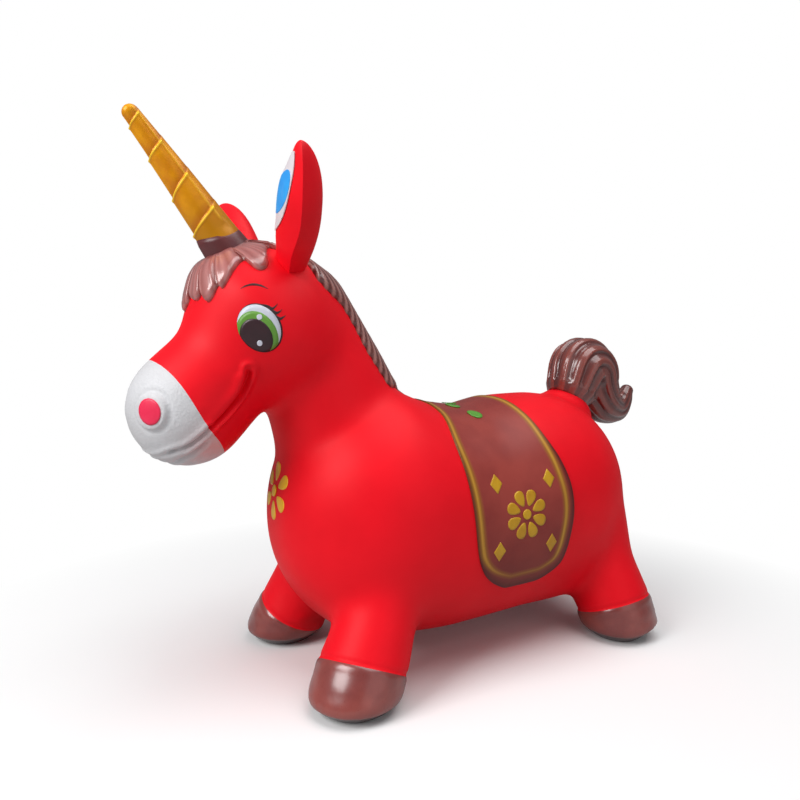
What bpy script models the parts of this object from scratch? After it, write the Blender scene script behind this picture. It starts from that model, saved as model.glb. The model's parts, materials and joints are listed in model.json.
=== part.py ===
"""Inflatable bouncy ride-on horse with a horn: a hollow vinyl skin on four short legs.

The skin is one air-filled form. It is split where its paint, its relief or its bending changes, so that every
zone is a shell of its own. +X is forward, +Y is the horse's left, +Z is up and the floor is at Z = 0.
"""

import math

import bmesh
import bpy
from mathutils import Matrix, Vector

# Driving dimensions, in metres.
WALL = 0.0027
GAP = 0.0003

# Barrel of the body.
CHEST_X = 0.191
RUMP_X = -0.256
BODY_HALF_WIDTH = 0.124
SEAT_HEIGHT = 0.279
WITHERS_HEIGHT = 0.283
RUMP_HEIGHT = 0.295
BELLY_HEIGHT = 0.031
BELLY_RISE = 0.014
CHEST_DOME = 0.120
RUMP_DOME = 0.114
BARREL_FULLNESS = 0.92

# Legs and hooves. A leg leans inwards as it rises.
STANCE_HALF_WIDTH = 0.098
FRONT_HOOF_X = 0.148
REAR_HOOF_X = -0.209
HOOF_RADIUS = 0.0445
HOOF_HEIGHT = 0.049
HOOF_TURN_HEIGHT = 0.016
HOOF_SIDE_HEIGHT = 0.0304
HOOF_DOME = 0.0222
HOOF_LINE_SLOPE = 0.22
LEG_RADIUS = 0.042
LEG_ROOT_SPREAD = 0.008
LEG_TOP_HEIGHT = 0.150
LEG_SKIN_TOP = 0.098
HOOF_ZONE_RADIUS = 0.0495
LEG_ZONE_RADIUS = 0.060
FRONT_LEG_LEAN = 0.062
REAR_LEG_LEAN = 0.030
LEG_LEAN_IN = 0.034

# Neck, head and muzzle: centres in the middle plane (X, Z) and radii.
NECK_BASE = (0.082, 0.190)
NECK_BASE_RADIUS = 0.106
NECK_MIDDLE = (0.116, 0.268)
NECK_MIDDLE_RADIUS = 0.067
NECK_TOP = (0.158, 0.344)
NECK_TOP_RADIUS = 0.058
NECK_TOP_DOME = 0.040
HEAD_CENTRE = (0.198, 0.354)
HEAD_RADIUS = 0.085
HEAD_HALF_WIDTH = 0.082
BRIDGE_SHARE = 0.52
BRIDGE_RADIUS = 0.056
MUZZLE_CENTRE = (0.271, 0.278)
MUZZLE_RADIUS = 0.058
MUZZLE_LINE = 0.099
MUZZLE_LINE_TILT = 0.24

# Where the skin's zones part, in the middle plane (X, Z).
WITHERS_LINE = (0.036, 0.284)
CHEST_LINE = (0.178, 0.206)
POLL_LINE = (0.124, 0.404)
THROAT_LINE = (0.196, 0.268)
POLL_TOP = (0.154, 0.428)

# Ears, horn and tail, each on a ball root that turns in the skin.
EAR_ROOT = (-0.012, 0.052, 0.064)
EAR_TIP = (0.004, 0.123, 0.153)
EAR_HALF_WIDTH = 0.025
EAR_HALF_DEPTH = 0.019
EAR_PINCH = 0.35
EAR_NECK = 0.55
EAR_WIDEST = 0.5
EAR_TIP_POWER = 2.2
EAR_HOLLOW_START = -0.2
EAR_ROOT_RADIUS = 0.0165
HORN_ROOT = (0.0395, 0.089)
HORN_LEAN = math.radians(35.0)
HORN_LENGTH = 0.139
HORN_ROOT_RADIUS = 0.0200
HORN_BASE_RADIUS = 0.0190
HORN_TIP_RADIUS = 0.0075
HORN_STEP = 0.0016
HORN_PITCH = 0.036
HORN_TIP_TURN = math.radians(80.0)
TAIL_ROOT = (0.037, -0.013)
TAIL_LEAN = math.radians(36.0)
TAIL_STUB_RADIUS = 0.037
TAIL_STUB_DOME = 0.009
TAIL_STUB_FLARE = 0.009
TAIL_STUB_DEPTH = 0.074
TAIL_ROOT_RADIUS = 0.026
TAIL_BORE_RADIUS = 0.010
TAIL_CLEARANCE = 0.006
PLUME_SPINE = (
    (-0.002, 0.018), (-0.016, 0.034), (-0.034, 0.030), (-0.046, 0.008), (-0.062, -0.012), (-0.082, -0.022),
    (-0.098, -0.012), (-0.106, 0.006),
)
PLUME_RADII = (0.027, 0.036, 0.036, 0.033, 0.027, 0.019, 0.011, 0.006)

# Hair, saddle and air valve.
HAIR_THICKNESS = 0.006
LOCK_COUNT = 14
LOCK_TIP_RADIUS = 0.061
LOCK_NOTCH_RADIUS = 0.047
EAR_CLEARANCE = 0.006
LOCK_TURN = math.radians(5.0)
COLLAR_RADIUS = 0.0240
COLLAR_RISE = 0.0015
MANE_HALF_WIDTH = 0.042
MANE_LOCKS = 7
MANE_NOTCH = 0.006
SADDLE_THICKNESS = 0.0016
SADDLE_FRONT_X = 0.029
SADDLE_REAR_X = -0.108
SADDLE_HEM_HEIGHT = 0.088
SADDLE_CORNER = 0.045
SADDLE_WAIST = 0.020
VALVE_HEIGHT = 0.165
FLANGE_RADIUS = 0.0140
FLANGE_THICKNESS = 0.0030
TUBE_RADIUS = 0.0085
TUBE_LENGTH = 0.014
BORE_RADIUS = 0.0060
PLUG_HEAD_RADIUS = 0.0095
PLUG_HEAD_THICKNESS = 0.0030
PLUG_TAPER = 0.0008
PLUG_LENGTH = 0.012

# Ends that lie inside another form, and how far a cutter runs past what it cuts.
BURIED_DOME = 0.020
CUT_MARGIN = 0.020

# Mesh resolution.
RING_POINTS = 28
DOME_RINGS = 7
FORM_VOXEL = 0.006
FORM_SMOOTHING = 28
SKIN_TRIANGLES = 2500
PLUME_STEPS = 4
PLUME_VOXEL = 0.004
PLUME_SMOOTHING = 6
PLUME_TRIANGLES = 380
BALL_SEGMENTS = 24
BALL_RINGS = 8
EAR_POINTS = 12
EAR_RINGS = 8
EAR_LAST_RING = 0.995
HORN_POINTS = 16
HORN_ROWS = (0.0, 0.5, 0.97)
STUB_SEGMENTS = 32
CORNER_STEPS = 8
TUBE_SEGMENTS = 20
FAR = 1.0

# Colours of the vinyl and its paint, as linear values.
RED = (0.80, 0.012, 0.025)
BROWN = (0.24, 0.055, 0.045)
SADDLE_BROWN = (0.15, 0.035, 0.030)
WHITE = (0.68, 0.66, 0.64)
GOLD = (0.68, 0.30, 0.010)

UP = Vector((0.0, 0.0, 1.0))
LEFT = Vector((0.0, 1.0, 0.0))
REAR = Vector((-1.0, 0.0, 0.0))


def middle(place):
    """A point of the middle plane from its X and Z."""
    return Vector((place[0], 0.0, place[1]))


HEAD = middle(HEAD_CENTRE)
MUZZLE = middle(MUZZLE_CENTRE)
FACE_AXIS = (MUZZLE - HEAD).normalized()
FACE_UP = LEFT.cross(FACE_AXIS) * -1.0
HORN_AXIS = Vector((math.sin(HORN_LEAN), 0.0, math.cos(HORN_LEAN)))
HORN_BASE = HEAD + middle(HORN_ROOT)
TAIL_AXIS = Vector((-math.sin(TAIL_LEAN), 0.0, math.cos(TAIL_LEAN)))
TAIL_BASE = Vector((RUMP_X, 0.0, RUMP_HEIGHT)) + middle(TAIL_ROOT)


# Scene helpers.
def clear_scene():
    for obj in list(bpy.data.objects):
        bpy.data.objects.remove(obj)


def vinyl(name, colour, roughness, metallic=0.0):
    paint = bpy.data.materials.new(name)
    paint.use_nodes = True
    shader = paint.node_tree.nodes["Principled BSDF"]
    shader.inputs["Base Color"].default_value = (*colour, 1.0)
    shader.inputs["Roughness"].default_value = roughness
    shader.inputs["Metallic"].default_value = metallic
    return paint


def linked(name, data):
    obj = bpy.data.objects.new(name, data)
    bpy.context.scene.collection.objects.link(obj)
    return obj


def helper(name, mesh):
    """An object that only shapes others and is no piece of the horse."""
    obj = linked(name, mesh)
    obj.hide_render = True
    obj.display_type = "WIRE"
    return obj


def mesh_from(bm, name):
    bmesh.ops.recalc_face_normals(bm, faces=bm.faces)
    mesh = bpy.data.meshes.new(name)
    bm.to_mesh(mesh)
    bm.free()
    return mesh


def evaluated(obj):
    """A new mesh with the object's modifiers applied."""
    graph = bpy.context.evaluated_depsgraph_get()
    return bpy.data.meshes.new_from_object(obj.evaluated_get(graph))


def combine(obj, other, operation):
    modifier = obj.modifiers.new(operation.lower(), "BOOLEAN")
    modifier.operation = operation
    modifier.object = other


def solid(source, keep=(), cut=(), join=()):
    """A helper made of the source, joined with, kept within and cut by other solids."""
    blank = helper("blank", source.data.copy())
    for other in join:
        combine(blank, other, "UNION")
    for other in keep:
        combine(blank, other, "INTERSECT")
    for other in cut:
        combine(blank, other, "DIFFERENCE")
    made = helper("solid", evaluated(blank))
    bpy.data.objects.remove(blank)
    return made


def piece(name, source, paint, parent, **shaping):
    """A named piece of the horse, shaped from the source and placed under its parent empty."""
    mesh = solid(source, **shaping).data
    mesh.name = name
    mesh.materials.clear()
    mesh.materials.append(paint)
    mesh.shade_smooth()
    mesh.set_sharp_from_angle(angle=math.radians(40.0))
    mesh.transform(Matrix.Translation(-parent.location))
    made = linked(name, mesh)
    made.parent = parent
    return made


def joint_empty(name, place):
    empty = linked(name, None)
    empty.location = place
    empty.empty_display_size = 0.02
    return empty


# Lofted forms.
def ring(centre, normal, half_width, half_depth, fullness=1.0):
    """Points of an oval across a spine: its width lies along Y, and a fullness under 1 squares it."""
    wide = (LEFT - normal * LEFT.dot(normal)).normalized()
    deep = normal.cross(wide)
    points = []
    for i in range(RING_POINTS):
        turn = 2.0 * math.pi * i / RING_POINTS
        across = math.copysign(abs(math.cos(turn)) ** fullness, math.cos(turn))
        along = math.copysign(abs(math.sin(turn)) ** fullness, math.sin(turn))
        points.append(centre + wide * half_width * across + deep * half_depth * along)
    return points


def dome(station, length, outwards):
    """Rings that round off an end, from just past the station to near its pole."""
    centre, normal, half_width, half_depth, *fullness = station
    rings = []
    for i in range(1, DOME_RINGS):
        turn = 0.5 * math.pi * i / DOME_RINGS
        place = centre + normal * outwards * length * math.sin(turn)
        share = math.cos(turn)
        rings.append(ring(place, normal, half_width * share, half_depth * share, *fullness))
    return rings


def skin_rings(bm, rings):
    """Adds a closed tube through rings of equal counts to a bmesh."""
    rows = [[bm.verts.new(point) for point in points] for points in rings]
    for low, high in zip(rows, rows[1:]):
        for i in range(len(low)):
            after = (i + 1) % len(low)
            bm.faces.new((low[i], low[after], high[after], high[i]))
    bm.faces.new(rows[0][::-1])
    bm.faces.new(rows[-1])


def loft(bm, stations, start_dome, end_dome):
    """Adds a closed tube through the stations, with both ends rounded, to a bmesh."""
    rings = dome(stations[0], start_dome, -1.0)[::-1]
    rings += [ring(*station) for station in stations]
    rings += dome(stations[-1], end_dome, 1.0)
    skin_rings(bm, rings)


def barrel_stations():
    """(centre, normal, half width, half depth, fullness) along the body, from the rump to the chest."""
    rear = RUMP_X + RUMP_DOME
    front = CHEST_X - CHEST_DOME
    tops = (RUMP_HEIGHT, 0.7 * RUMP_HEIGHT + 0.3 * SEAT_HEIGHT, SEAT_HEIGHT, SEAT_HEIGHT, WITHERS_HEIGHT)
    rises = (1.0, 0.7, 0.35, 0.0, 0.1)
    widths = (0.94, 1.0, 1.0, 1.0, 1.0)
    stations = []
    for i, (top, rise, width) in enumerate(zip(tops, rises, widths)):
        x = rear + (front - rear) * i / (len(tops) - 1)
        bottom = BELLY_HEIGHT + BELLY_RISE * rise
        centre = middle((x, 0.5 * (top + bottom)))
        stations.append((centre, -REAR, BODY_HALF_WIDTH * width, 0.5 * (top - bottom), BARREL_FULLNESS))
    return stations


def neck_stations():
    places = [middle(place) for place in (NECK_BASE, NECK_MIDDLE, NECK_TOP)]
    radii = (NECK_BASE_RADIUS, NECK_MIDDLE_RADIUS, NECK_TOP_RADIUS)
    axis = (places[-1] - places[0]).normalized()
    return [(place, axis, radius, radius) for place, radius in zip(places, radii)]


def head_stations():
    """The cranium, the bridge of the nose and the muzzle, along the face."""
    bridge = HEAD.lerp(MUZZLE, BRIDGE_SHARE)
    return [
        (HEAD, FACE_AXIS, HEAD_HALF_WIDTH, HEAD_RADIUS),
        (bridge, FACE_AXIS, BRIDGE_RADIUS, BRIDGE_RADIUS),
        (MUZZLE, FACE_AXIS, MUZZLE_RADIUS, MUZZLE_RADIUS),
    ]


def tail_stub_stations():
    inside = TAIL_BASE - TAIL_AXIS * TAIL_STUB_DEPTH
    root = TAIL_STUB_RADIUS + TAIL_STUB_FLARE
    return [(inside, TAIL_AXIS, root, root), (TAIL_BASE, TAIL_AXIS, TAIL_STUB_RADIUS, TAIL_STUB_RADIUS)]


class Leg:
    """One leg: where its sole stands, how it leans and where its hoof ends."""

    def __init__(self, name, end, side):
        self.name = name
        hoof_x = FRONT_HOOF_X if end > 0 else REAR_HOOF_X
        lean = -FRONT_LEG_LEAN if end > 0 else REAR_LEG_LEAN
        self.sole = Vector((hoof_x, side * STANCE_HALF_WIDTH, 0.0))
        self.lean = Vector((lean, -side * LEG_LEAN_IN, LEG_TOP_HEIGHT))
        self.hoof_top = self.at(HOOF_HEIGHT)
        self.hoof_line = Vector((-end * HOOF_LINE_SLOPE, 0.0, 1.0)).normalized()

    def at(self, height):
        return self.sole + self.lean * (height / LEG_TOP_HEIGHT)

    def stations(self):
        axis = self.lean.normalized()
        heights = (HOOF_TURN_HEIGHT, HOOF_SIDE_HEIGHT, HOOF_HEIGHT, LEG_SKIN_TOP, LEG_TOP_HEIGHT)
        radii = (HOOF_RADIUS, HOOF_RADIUS, LEG_RADIUS, LEG_RADIUS, LEG_RADIUS + LEG_ROOT_SPREAD)
        normals = (UP, UP, axis, axis, axis)
        rows = zip(heights, normals, radii)
        return [(self.at(height), normal, radius, radius) for height, normal, radius in rows]


LEGS = [
    Leg("front_left", 1, 1),
    Leg("front_right", 1, -1),
    Leg("rear_left", -1, 1),
    Leg("rear_right", -1, -1),
]


def fused(bm, name, voxel, smoothing):
    """Overlapping tubes fused by a voxel remesh and relaxed into fillets."""
    form = helper(name, mesh_from(bm, name))
    remesh = form.modifiers.new("fuse", "REMESH")
    remesh.mode = "VOXEL"
    remesh.voxel_size = voxel
    relax = form.modifiers.new("relax", "SMOOTH")
    relax.factor = 0.5
    relax.iterations = smoothing
    result = helper(name + "_fused", evaluated(form))
    bpy.data.objects.remove(form)
    return result


def skin_form():
    """The whole inflated form without its ears, horn and plume."""
    bm = bmesh.new()
    loft(bm, barrel_stations(), RUMP_DOME, CHEST_DOME)
    loft(bm, neck_stations(), BURIED_DOME, NECK_TOP_DOME)
    loft(bm, head_stations(), HEAD_RADIUS, MUZZLE_RADIUS)
    loft(bm, tail_stub_stations(), BURIED_DOME, TAIL_STUB_DOME)
    for leg in LEGS:
        loft(bm, leg.stations(), HOOF_DOME, BURIED_DOME)
    return fused(bm, "skin", FORM_VOXEL, FORM_SMOOTHING)


def plume_form():
    """The tail's comma, as a string of balls: up from its root, over backwards, down and out to a flick."""
    places = [TAIL_BASE + middle(place) for place in PLUME_SPINE]
    bm = bmesh.new()
    for start, end, first, second in zip(places, places[1:], PLUME_RADII, PLUME_RADII[1:]):
        for i in range(PLUME_STEPS):
            share = i / PLUME_STEPS
            radius = first + (second - first) * share
            place = Matrix.Translation(start.lerp(end, share))
            bmesh.ops.create_icosphere(bm, subdivisions=2, radius=radius, matrix=place)
    return fused(bm, "plume", PLUME_VOXEL, PLUME_SMOOTHING)


def thinned(form, triangles):
    """A copy of a form thinned to about the given count of triangles."""
    copy = helper("thinned_copy", form.data.copy())
    thin = copy.modifiers.new("thin", "DECIMATE")
    thin.ratio = triangles / (2.0 * len(form.data.polygons))
    thin.use_collapse_triangulate = True
    result = helper("thinned", evaluated(copy))
    bpy.data.objects.remove(copy)
    return result


def offset_copy(source, offset):
    """A copy of a solid moved along its normals."""
    copy = helper("offset_blank", source.data.copy())
    push = copy.modifiers.new("push", "DISPLACE")
    push.mid_level = 0.0
    push.strength = offset
    result = helper("offset", evaluated(copy))
    bpy.data.objects.remove(copy)
    return result


# Cutters.
def half_space(point, direction):
    """A large block on the side of a plane that the direction points to."""
    bm = bmesh.new()
    turn = direction.to_track_quat("Z", "Y").to_matrix().to_4x4()
    place = Matrix.Translation(point + direction * FAR) @ turn
    bmesh.ops.create_cube(bm, size=2.0 * FAR, matrix=place)
    return helper("half_space", mesh_from(bm, "half_space"))


def prism(outline, origin, across, along, normal, depth):
    """A plane outline, laid across and along from the origin and extruded both ways along the normal."""
    bm = bmesh.new()
    ends = []
    for side in (-depth, depth):
        ends.append([bm.verts.new(origin + across * a + along * b + normal * side) for a, b in outline])
    for i in range(len(outline)):
        after = (i + 1) % len(outline)
        bm.faces.new((ends[0][i], ends[0][after], ends[1][after], ends[1][i]))
    bm.faces.new(ends[0][::-1])
    bm.faces.new(ends[1])
    return helper("prism", mesh_from(bm, "prism"))


def cylinder(start, axis, radius, length, end_radius=None):
    bm = bmesh.new()
    turn = axis.to_track_quat("Z", "Y").to_matrix().to_4x4()
    place = Matrix.Translation(start + axis * 0.5 * length) @ turn
    top = radius if end_radius is None else end_radius
    bmesh.ops.create_cone(
        bm, cap_ends=True, segments=TUBE_SEGMENTS, radius1=radius, radius2=top, depth=length, matrix=place
    )
    return helper("cylinder", mesh_from(bm, "cylinder"))


def stub(centre, radius, top, normal):
    """An upright cylinder from below the floor to a slanted plane."""
    bm = bmesh.new()
    place = Matrix.Translation((centre.x, centre.y, 0.0))
    bmesh.ops.create_cone(
        bm, cap_ends=True, segments=STUB_SEGMENTS, radius1=radius, radius2=radius, depth=FAR, matrix=place
    )
    for vert in bm.verts:
        if vert.co.z > 0.0:
            beside = vert.co - top
            vert.co.z = top.z - (beside.x * normal.x + beside.y * normal.y) / normal.z
    return helper("stub", mesh_from(bm, "stub"))


def root_ball(centre, radius):
    """A ball turned about the Y line through its centre, so that it stays in its socket as it rolls."""
    bm = bmesh.new()
    turn = LEFT.to_track_quat("Z", "X").to_matrix().to_4x4()
    place = Matrix.Translation(centre) @ turn
    bmesh.ops.create_uvsphere(
        bm, u_segments=BALL_SEGMENTS, v_segments=BALL_RINGS, radius=radius, matrix=place
    )
    return helper("root_ball", mesh_from(bm, "root_ball"))


def plane_pair(first, second, towards):
    """The two half spaces that meet, but for the gap, at a plane across the middle plane."""
    start = middle(first)
    normal = (middle(second) - start).cross(LEFT).normalized()
    if normal.dot(towards) < 0.0:
        normal = -normal
    half_gap = normal * 0.5 * GAP
    return half_space(start + half_gap, normal), half_space(start - half_gap, -normal)


# Relief outlines.
def star_outline(grown=0.0):
    """The forelock's pointed locks around the horn."""
    points = []
    for i in range(2 * LOCK_COUNT):
        turn = LOCK_TURN + math.pi * i / LOCK_COUNT
        radius = grown + (LOCK_NOTCH_RADIUS if i % 2 else LOCK_TIP_RADIUS)
        points.append((radius * math.cos(turn), radius * math.sin(turn)))
    return points


def mane_outline(length):
    """The mane from above its crest: wide behind the ears, with stepped locks, and a point at the withers."""
    right, left = [], []
    for i in range(2 * MANE_LOCKS):
        share = i / (2 * MANE_LOCKS)
        width = MANE_HALF_WIDTH * (1.0 - share ** 3) - (MANE_NOTCH if i % 2 else 0.0)
        left.append((length * share, width))
        right.append((length * share, -width))
    return left + [(length, 0.0)] + right[::-1]


def saddle_outline():
    """Side view (X, Z) of the saddle cloth: a waist over the back and round lower corners."""
    points = []
    corners = ((SADDLE_REAR_X + SADDLE_CORNER, 180.0), (SADDLE_FRONT_X - SADDLE_CORNER, 270.0))
    for x, start in corners:
        for i in range(CORNER_STEPS + 1):
            turn = math.radians(start + 90.0 * i / CORNER_STEPS)
            z = SADDLE_HEM_HEIGHT + SADDLE_CORNER
            points.append((x + SADDLE_CORNER * math.cos(turn), z + SADDLE_CORNER * math.sin(turn)))
    shoulder = SADDLE_HEM_HEIGHT + SADDLE_CORNER
    front, rear = [], []
    for i in range(1, CORNER_STEPS + 1):
        share = i / CORNER_STEPS
        z = shoulder + (SEAT_HEIGHT + CUT_MARGIN - shoulder) * share
        front.append((SADDLE_FRONT_X - SADDLE_WAIST * share * share, z))
        rear.append((SADDLE_REAR_X + SADDLE_WAIST * share * share, z))
    return points + front + rear[::-1]


# Pieces.
def ear_root(side):
    return HEAD + Vector((EAR_ROOT[0], side * EAR_ROOT[1], EAR_ROOT[2]))


def ear_profile(share):
    """Half width of the ear, as a share of its largest, along its length from root to tip."""
    if share < EAR_WIDEST:
        return EAR_NECK + (1.0 - EAR_NECK) * math.sin(0.5 * math.pi * max(share, 0.0) / EAR_WIDEST)
    return math.sqrt(max(1.0 - ((share - EAR_WIDEST) / (1.0 - EAR_WIDEST)) ** EAR_TIP_POWER, 0.0))


def ear_rings(side, inset, start):
    """Rings of a leaf with a ridge on its outer edge, from the start share of its length to its tip."""
    root = ear_root(side)
    reach = HEAD + Vector((EAR_TIP[0], side * EAR_TIP[1], EAR_TIP[2])) - root
    axis = reach.normalized()
    fore = (-REAR - axis * axis.dot(-REAR)).normalized()
    out = axis.cross(fore) * -side
    end = 1.0 - inset / reach.length
    rings = []
    for i in range(EAR_RINGS):
        share = start + (end - start) * math.sin(0.5 * math.pi * i / (EAR_RINGS - 1)) * EAR_LAST_RING
        profile = ear_profile(share)
        width = EAR_HALF_WIDTH * profile - inset
        depth = EAR_HALF_DEPTH * profile - inset
        points = []
        for k in range(EAR_POINTS):
            turn = 2.0 * math.pi * k / EAR_POINTS
            pinch = 1.0 - EAR_PINCH * max(math.cos(turn), 0.0)
            offset = out * width * math.cos(turn) + fore * depth * pinch * math.sin(turn)
            points.append(root + reach * share + offset)
        rings.append(points)
    return rings


def leaf(rings):
    bm = bmesh.new()
    skin_rings(bm, rings)
    return helper("leaf", mesh_from(bm, "leaf"))


def horn_point(run, share):
    """Height and radius along the horn's band: a turn inside its ball, the cone, then a turn to the tip."""
    straight = HORN_LENGTH - HORN_TIP_RADIUS
    step = HORN_STEP * (1.0 - share)
    if run < 0.0:
        return 0.25 * run, HORN_BASE_RADIUS * (1.0 + 0.5 * run / HORN_PITCH) - step
    if run < straight:
        return run, HORN_BASE_RADIUS + (HORN_TIP_RADIUS - HORN_BASE_RADIUS) * run / straight - step
    turn = HORN_TIP_TURN * min((run - straight) / HORN_PITCH, 1.0)
    return straight + HORN_TIP_RADIUS * math.sin(turn), (HORN_TIP_RADIUS - step) * math.cos(turn)


def horn_screw():
    """A cone wound by one helical band that widens up to its rim, then steps back in."""
    deep = HORN_AXIS.cross(LEFT)
    count = round((HORN_LENGTH + HORN_PITCH) / HORN_PITCH * HORN_POINTS)
    bm = bmesh.new()
    columns = []
    for k in range(count + 1):
        turn = 2.0 * math.pi * k / HORN_POINTS
        outwards = LEFT * math.cos(turn) + deep * math.sin(turn)
        column = []
        for share in HORN_ROWS:
            height, radius = horn_point(HORN_PITCH * (k / HORN_POINTS + share - 1.0), share)
            column.append(bm.verts.new(HORN_BASE + HORN_AXIS * height + outwards * radius))
        columns.append(column)
    for k in range(count):
        a, b = columns[k], columns[k + 1]
        for low in range(len(HORN_ROWS) - 1):
            bm.faces.new((a[low], b[low], b[low + 1], a[low + 1]))
        if k + HORN_POINTS < count:
            bm.faces.new((a[-1], b[-1], columns[k + HORN_POINTS + 1][0], columns[k + HORN_POINTS][0]))
    first = [columns[k][0] for k in range(HORN_POINTS + 1)] + columns[0][:0:-1]
    last = [columns[k][-1] for k in range(count - HORN_POINTS, count + 1)] + columns[count][-2::-1]
    for loop in (first, last):
        pole = bm.verts.new(sum((vert.co for vert in loop), Vector()) / len(loop))
        for i in range(len(loop)):
            bm.faces.new((loop[i], loop[(i + 1) % len(loop)], pole))
    return helper("horn_screw", mesh_from(bm, "horn_screw"))


class Skin:
    """The inflated form as an outer solid and the air space within it."""

    def __init__(self):
        form = thinned(skin_form(), SKIN_TRIANGLES)
        floor = half_space(Vector((0.0, 0.0, 0.0)), UP)
        sole = half_space(Vector((0.0, 0.0, WALL)), UP)
        self.outer = solid(form, keep=[floor])
        self.air = solid(offset_copy(form, -WALL), keep=[sole])
        self.clear = offset_copy(self.outer, GAP)

    def relief(self, thickness):
        return offset_copy(self.outer, thickness)


class Paints:
    """The vinyl's own red and the paints over it."""

    def __init__(self):
        self.red = vinyl("red_vinyl", RED, 0.45)
        self.brown = vinyl("brown_paint", BROWN, 0.30)
        self.saddle = vinyl("saddle_paint", SADDLE_BROWN, 0.35)
        self.white = vinyl("white_paint", WHITE, 0.55)
        self.gold = vinyl("gold_paint", GOLD, 0.30, 0.6)
        self.valve = vinyl("valve_vinyl", WHITE, 0.35)


def make_legs(skin, paints, feet):
    """Four flat-soled hooves and the skin between each and the body. Returns what the body leaves out."""
    left_out = []
    for leg in LEGS:
        hoof_place, leg_place = leg.at(0.5 * HOOF_HEIGHT), leg.at(0.5 * LEG_SKIN_TOP)
        skin_top = leg.at(LEG_SKIN_TOP)
        raised = Vector((0.0, 0.0, GAP))
        hoof_zone = stub(hoof_place, HOOF_ZONE_RADIUS, leg.hoof_top, leg.hoof_line)
        past_hoof = stub(hoof_place, HOOF_ZONE_RADIUS + GAP, leg.hoof_top + raised, leg.hoof_line)
        leg_zone = stub(leg_place, LEG_ZONE_RADIUS, skin_top, UP)
        past_leg = stub(leg_place, LEG_ZONE_RADIUS + GAP, skin_top + raised, UP)
        piece(leg.name + "_hoof", skin.outer, paints.brown, feet, keep=[hoof_zone], cut=[skin.air])
        piece(leg.name + "_leg_skin", skin.outer, paints.red, feet,
              keep=[leg_zone], cut=[past_hoof, skin.air])
        left_out += [past_hoof, past_leg]
    return left_out


def make_body(skin, paints, body, left_out):
    """The torso, neck, head and muzzle shells."""
    above_neck, below_neck = plane_pair(WITHERS_LINE, CHEST_LINE, UP)
    head_side, neck_side = plane_pair(POLL_LINE, THROAT_LINE, -REAR)
    lip_normal = (FACE_AXIS + FACE_UP * MUZZLE_LINE_TILT).normalized()
    lip = HEAD + FACE_AXIS * MUZZLE_LINE
    muzzle_side = half_space(lip + lip_normal * 0.5 * GAP, lip_normal)
    face_side = half_space(lip - lip_normal * 0.5 * GAP, -lip_normal)
    sockets = [root_ball(ear_root(side), EAR_ROOT_RADIUS + GAP) for side in (1, -1)]
    sockets.append(root_ball(HORN_BASE, HORN_ROOT_RADIUS + GAP))
    tail_socket = root_ball(TAIL_BASE, TAIL_ROOT_RADIUS + GAP)
    behind = middle((RUMP_X, VALVE_HEIGHT)) + REAR * CUT_MARGIN
    valve_hole = cylinder(behind, -REAR, FLANGE_RADIUS + GAP, 3.0 * CUT_MARGIN)
    piece("torso_skin", skin.outer, paints.red, body,
          keep=[below_neck], cut=left_out + [skin.air, tail_socket, valve_hole])
    piece("neck_skin", skin.outer, paints.red, body, keep=[above_neck, neck_side], cut=[skin.air])
    piece("head_skin", skin.outer, paints.red, body, keep=[head_side, face_side], cut=[skin.air] + sockets)
    piece("muzzle_skin", skin.outer, paints.white, body, keep=[head_side, muzzle_side], cut=[skin.air])


def make_ears(paints):
    for side, name in ((1, "left_ear"), (-1, "right_ear")):
        empty = joint_empty(name + "_joint", ear_root(side))
        ball = root_ball(ear_root(side), EAR_ROOT_RADIUS)
        hollow = leaf(ear_rings(side, WALL, EAR_HOLLOW_START))
        piece(name, leaf(ear_rings(side, 0.0, 0.0)), paints.red, empty, join=[ball], cut=[hollow])


def make_horn(paints):
    empty = joint_empty("horn_joint", HORN_BASE)
    bore = HORN_BASE_RADIUS - HORN_STEP - WALL
    tip_bore = HORN_TIP_RADIUS - HORN_STEP - WALL
    hollow = cylinder(HORN_BASE - HORN_AXIS * 1.5 * HORN_ROOT_RADIUS, HORN_AXIS, bore, HORN_LENGTH, tip_bore)
    ball = root_ball(HORN_BASE, HORN_ROOT_RADIUS)
    piece("horn", horn_screw(), paints.gold, empty, join=[ball], cut=[hollow])


def make_hair(skin, paints, body):
    """The forelock with its collar around the horn, and the mane down the neck."""
    face_down = HORN_AXIS.cross(LEFT) * -1.0
    star = prism(star_outline(), HORN_BASE, face_down, LEFT, HORN_AXIS, LOCK_TIP_RADIUS)
    patch = solid(skin.relief(HAIR_THICKNESS), keep=[star])
    collar_foot = HORN_BASE - HORN_AXIS * HORN_ROOT_RADIUS
    collar = cylinder(collar_foot, HORN_AXIS, COLLAR_RADIUS, HORN_ROOT_RADIUS + COLLAR_RISE)
    horn_socket = root_ball(HORN_BASE, HORN_ROOT_RADIUS + GAP)
    ears = [root_ball(ear_root(side), EAR_ROOT_RADIUS + EAR_CLEARANCE) for side in (1, -1)]
    piece("forelock", patch, paints.brown, body, join=[collar], cut=[skin.clear, horn_socket] + ears)

    start, end = middle(POLL_TOP), middle(WITHERS_LINE)
    along = (end - start).normalized()
    outwards = along.cross(LEFT)
    strip = prism(mane_outline((end - start).length), start, along, LEFT, outwards, MANE_HALF_WIDTH)
    past_star = prism(star_outline(2.0 * GAP), HORN_BASE, face_down, LEFT, HORN_AXIS, LOCK_TIP_RADIUS)
    piece("mane", skin.relief(HAIR_THICKNESS), paints.brown, body,
          keep=[strip], cut=[skin.clear, past_star] + ears)


def make_saddle(skin, paints, body):
    side_view = prism(saddle_outline(), Vector((0.0, 0.0, 0.0)), -REAR, UP, LEFT, 2.0 * BODY_HALF_WIDTH)
    piece("saddle", skin.relief(SADDLE_THICKNESS), paints.saddle, body, keep=[side_view], cut=[skin.clear])


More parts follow.
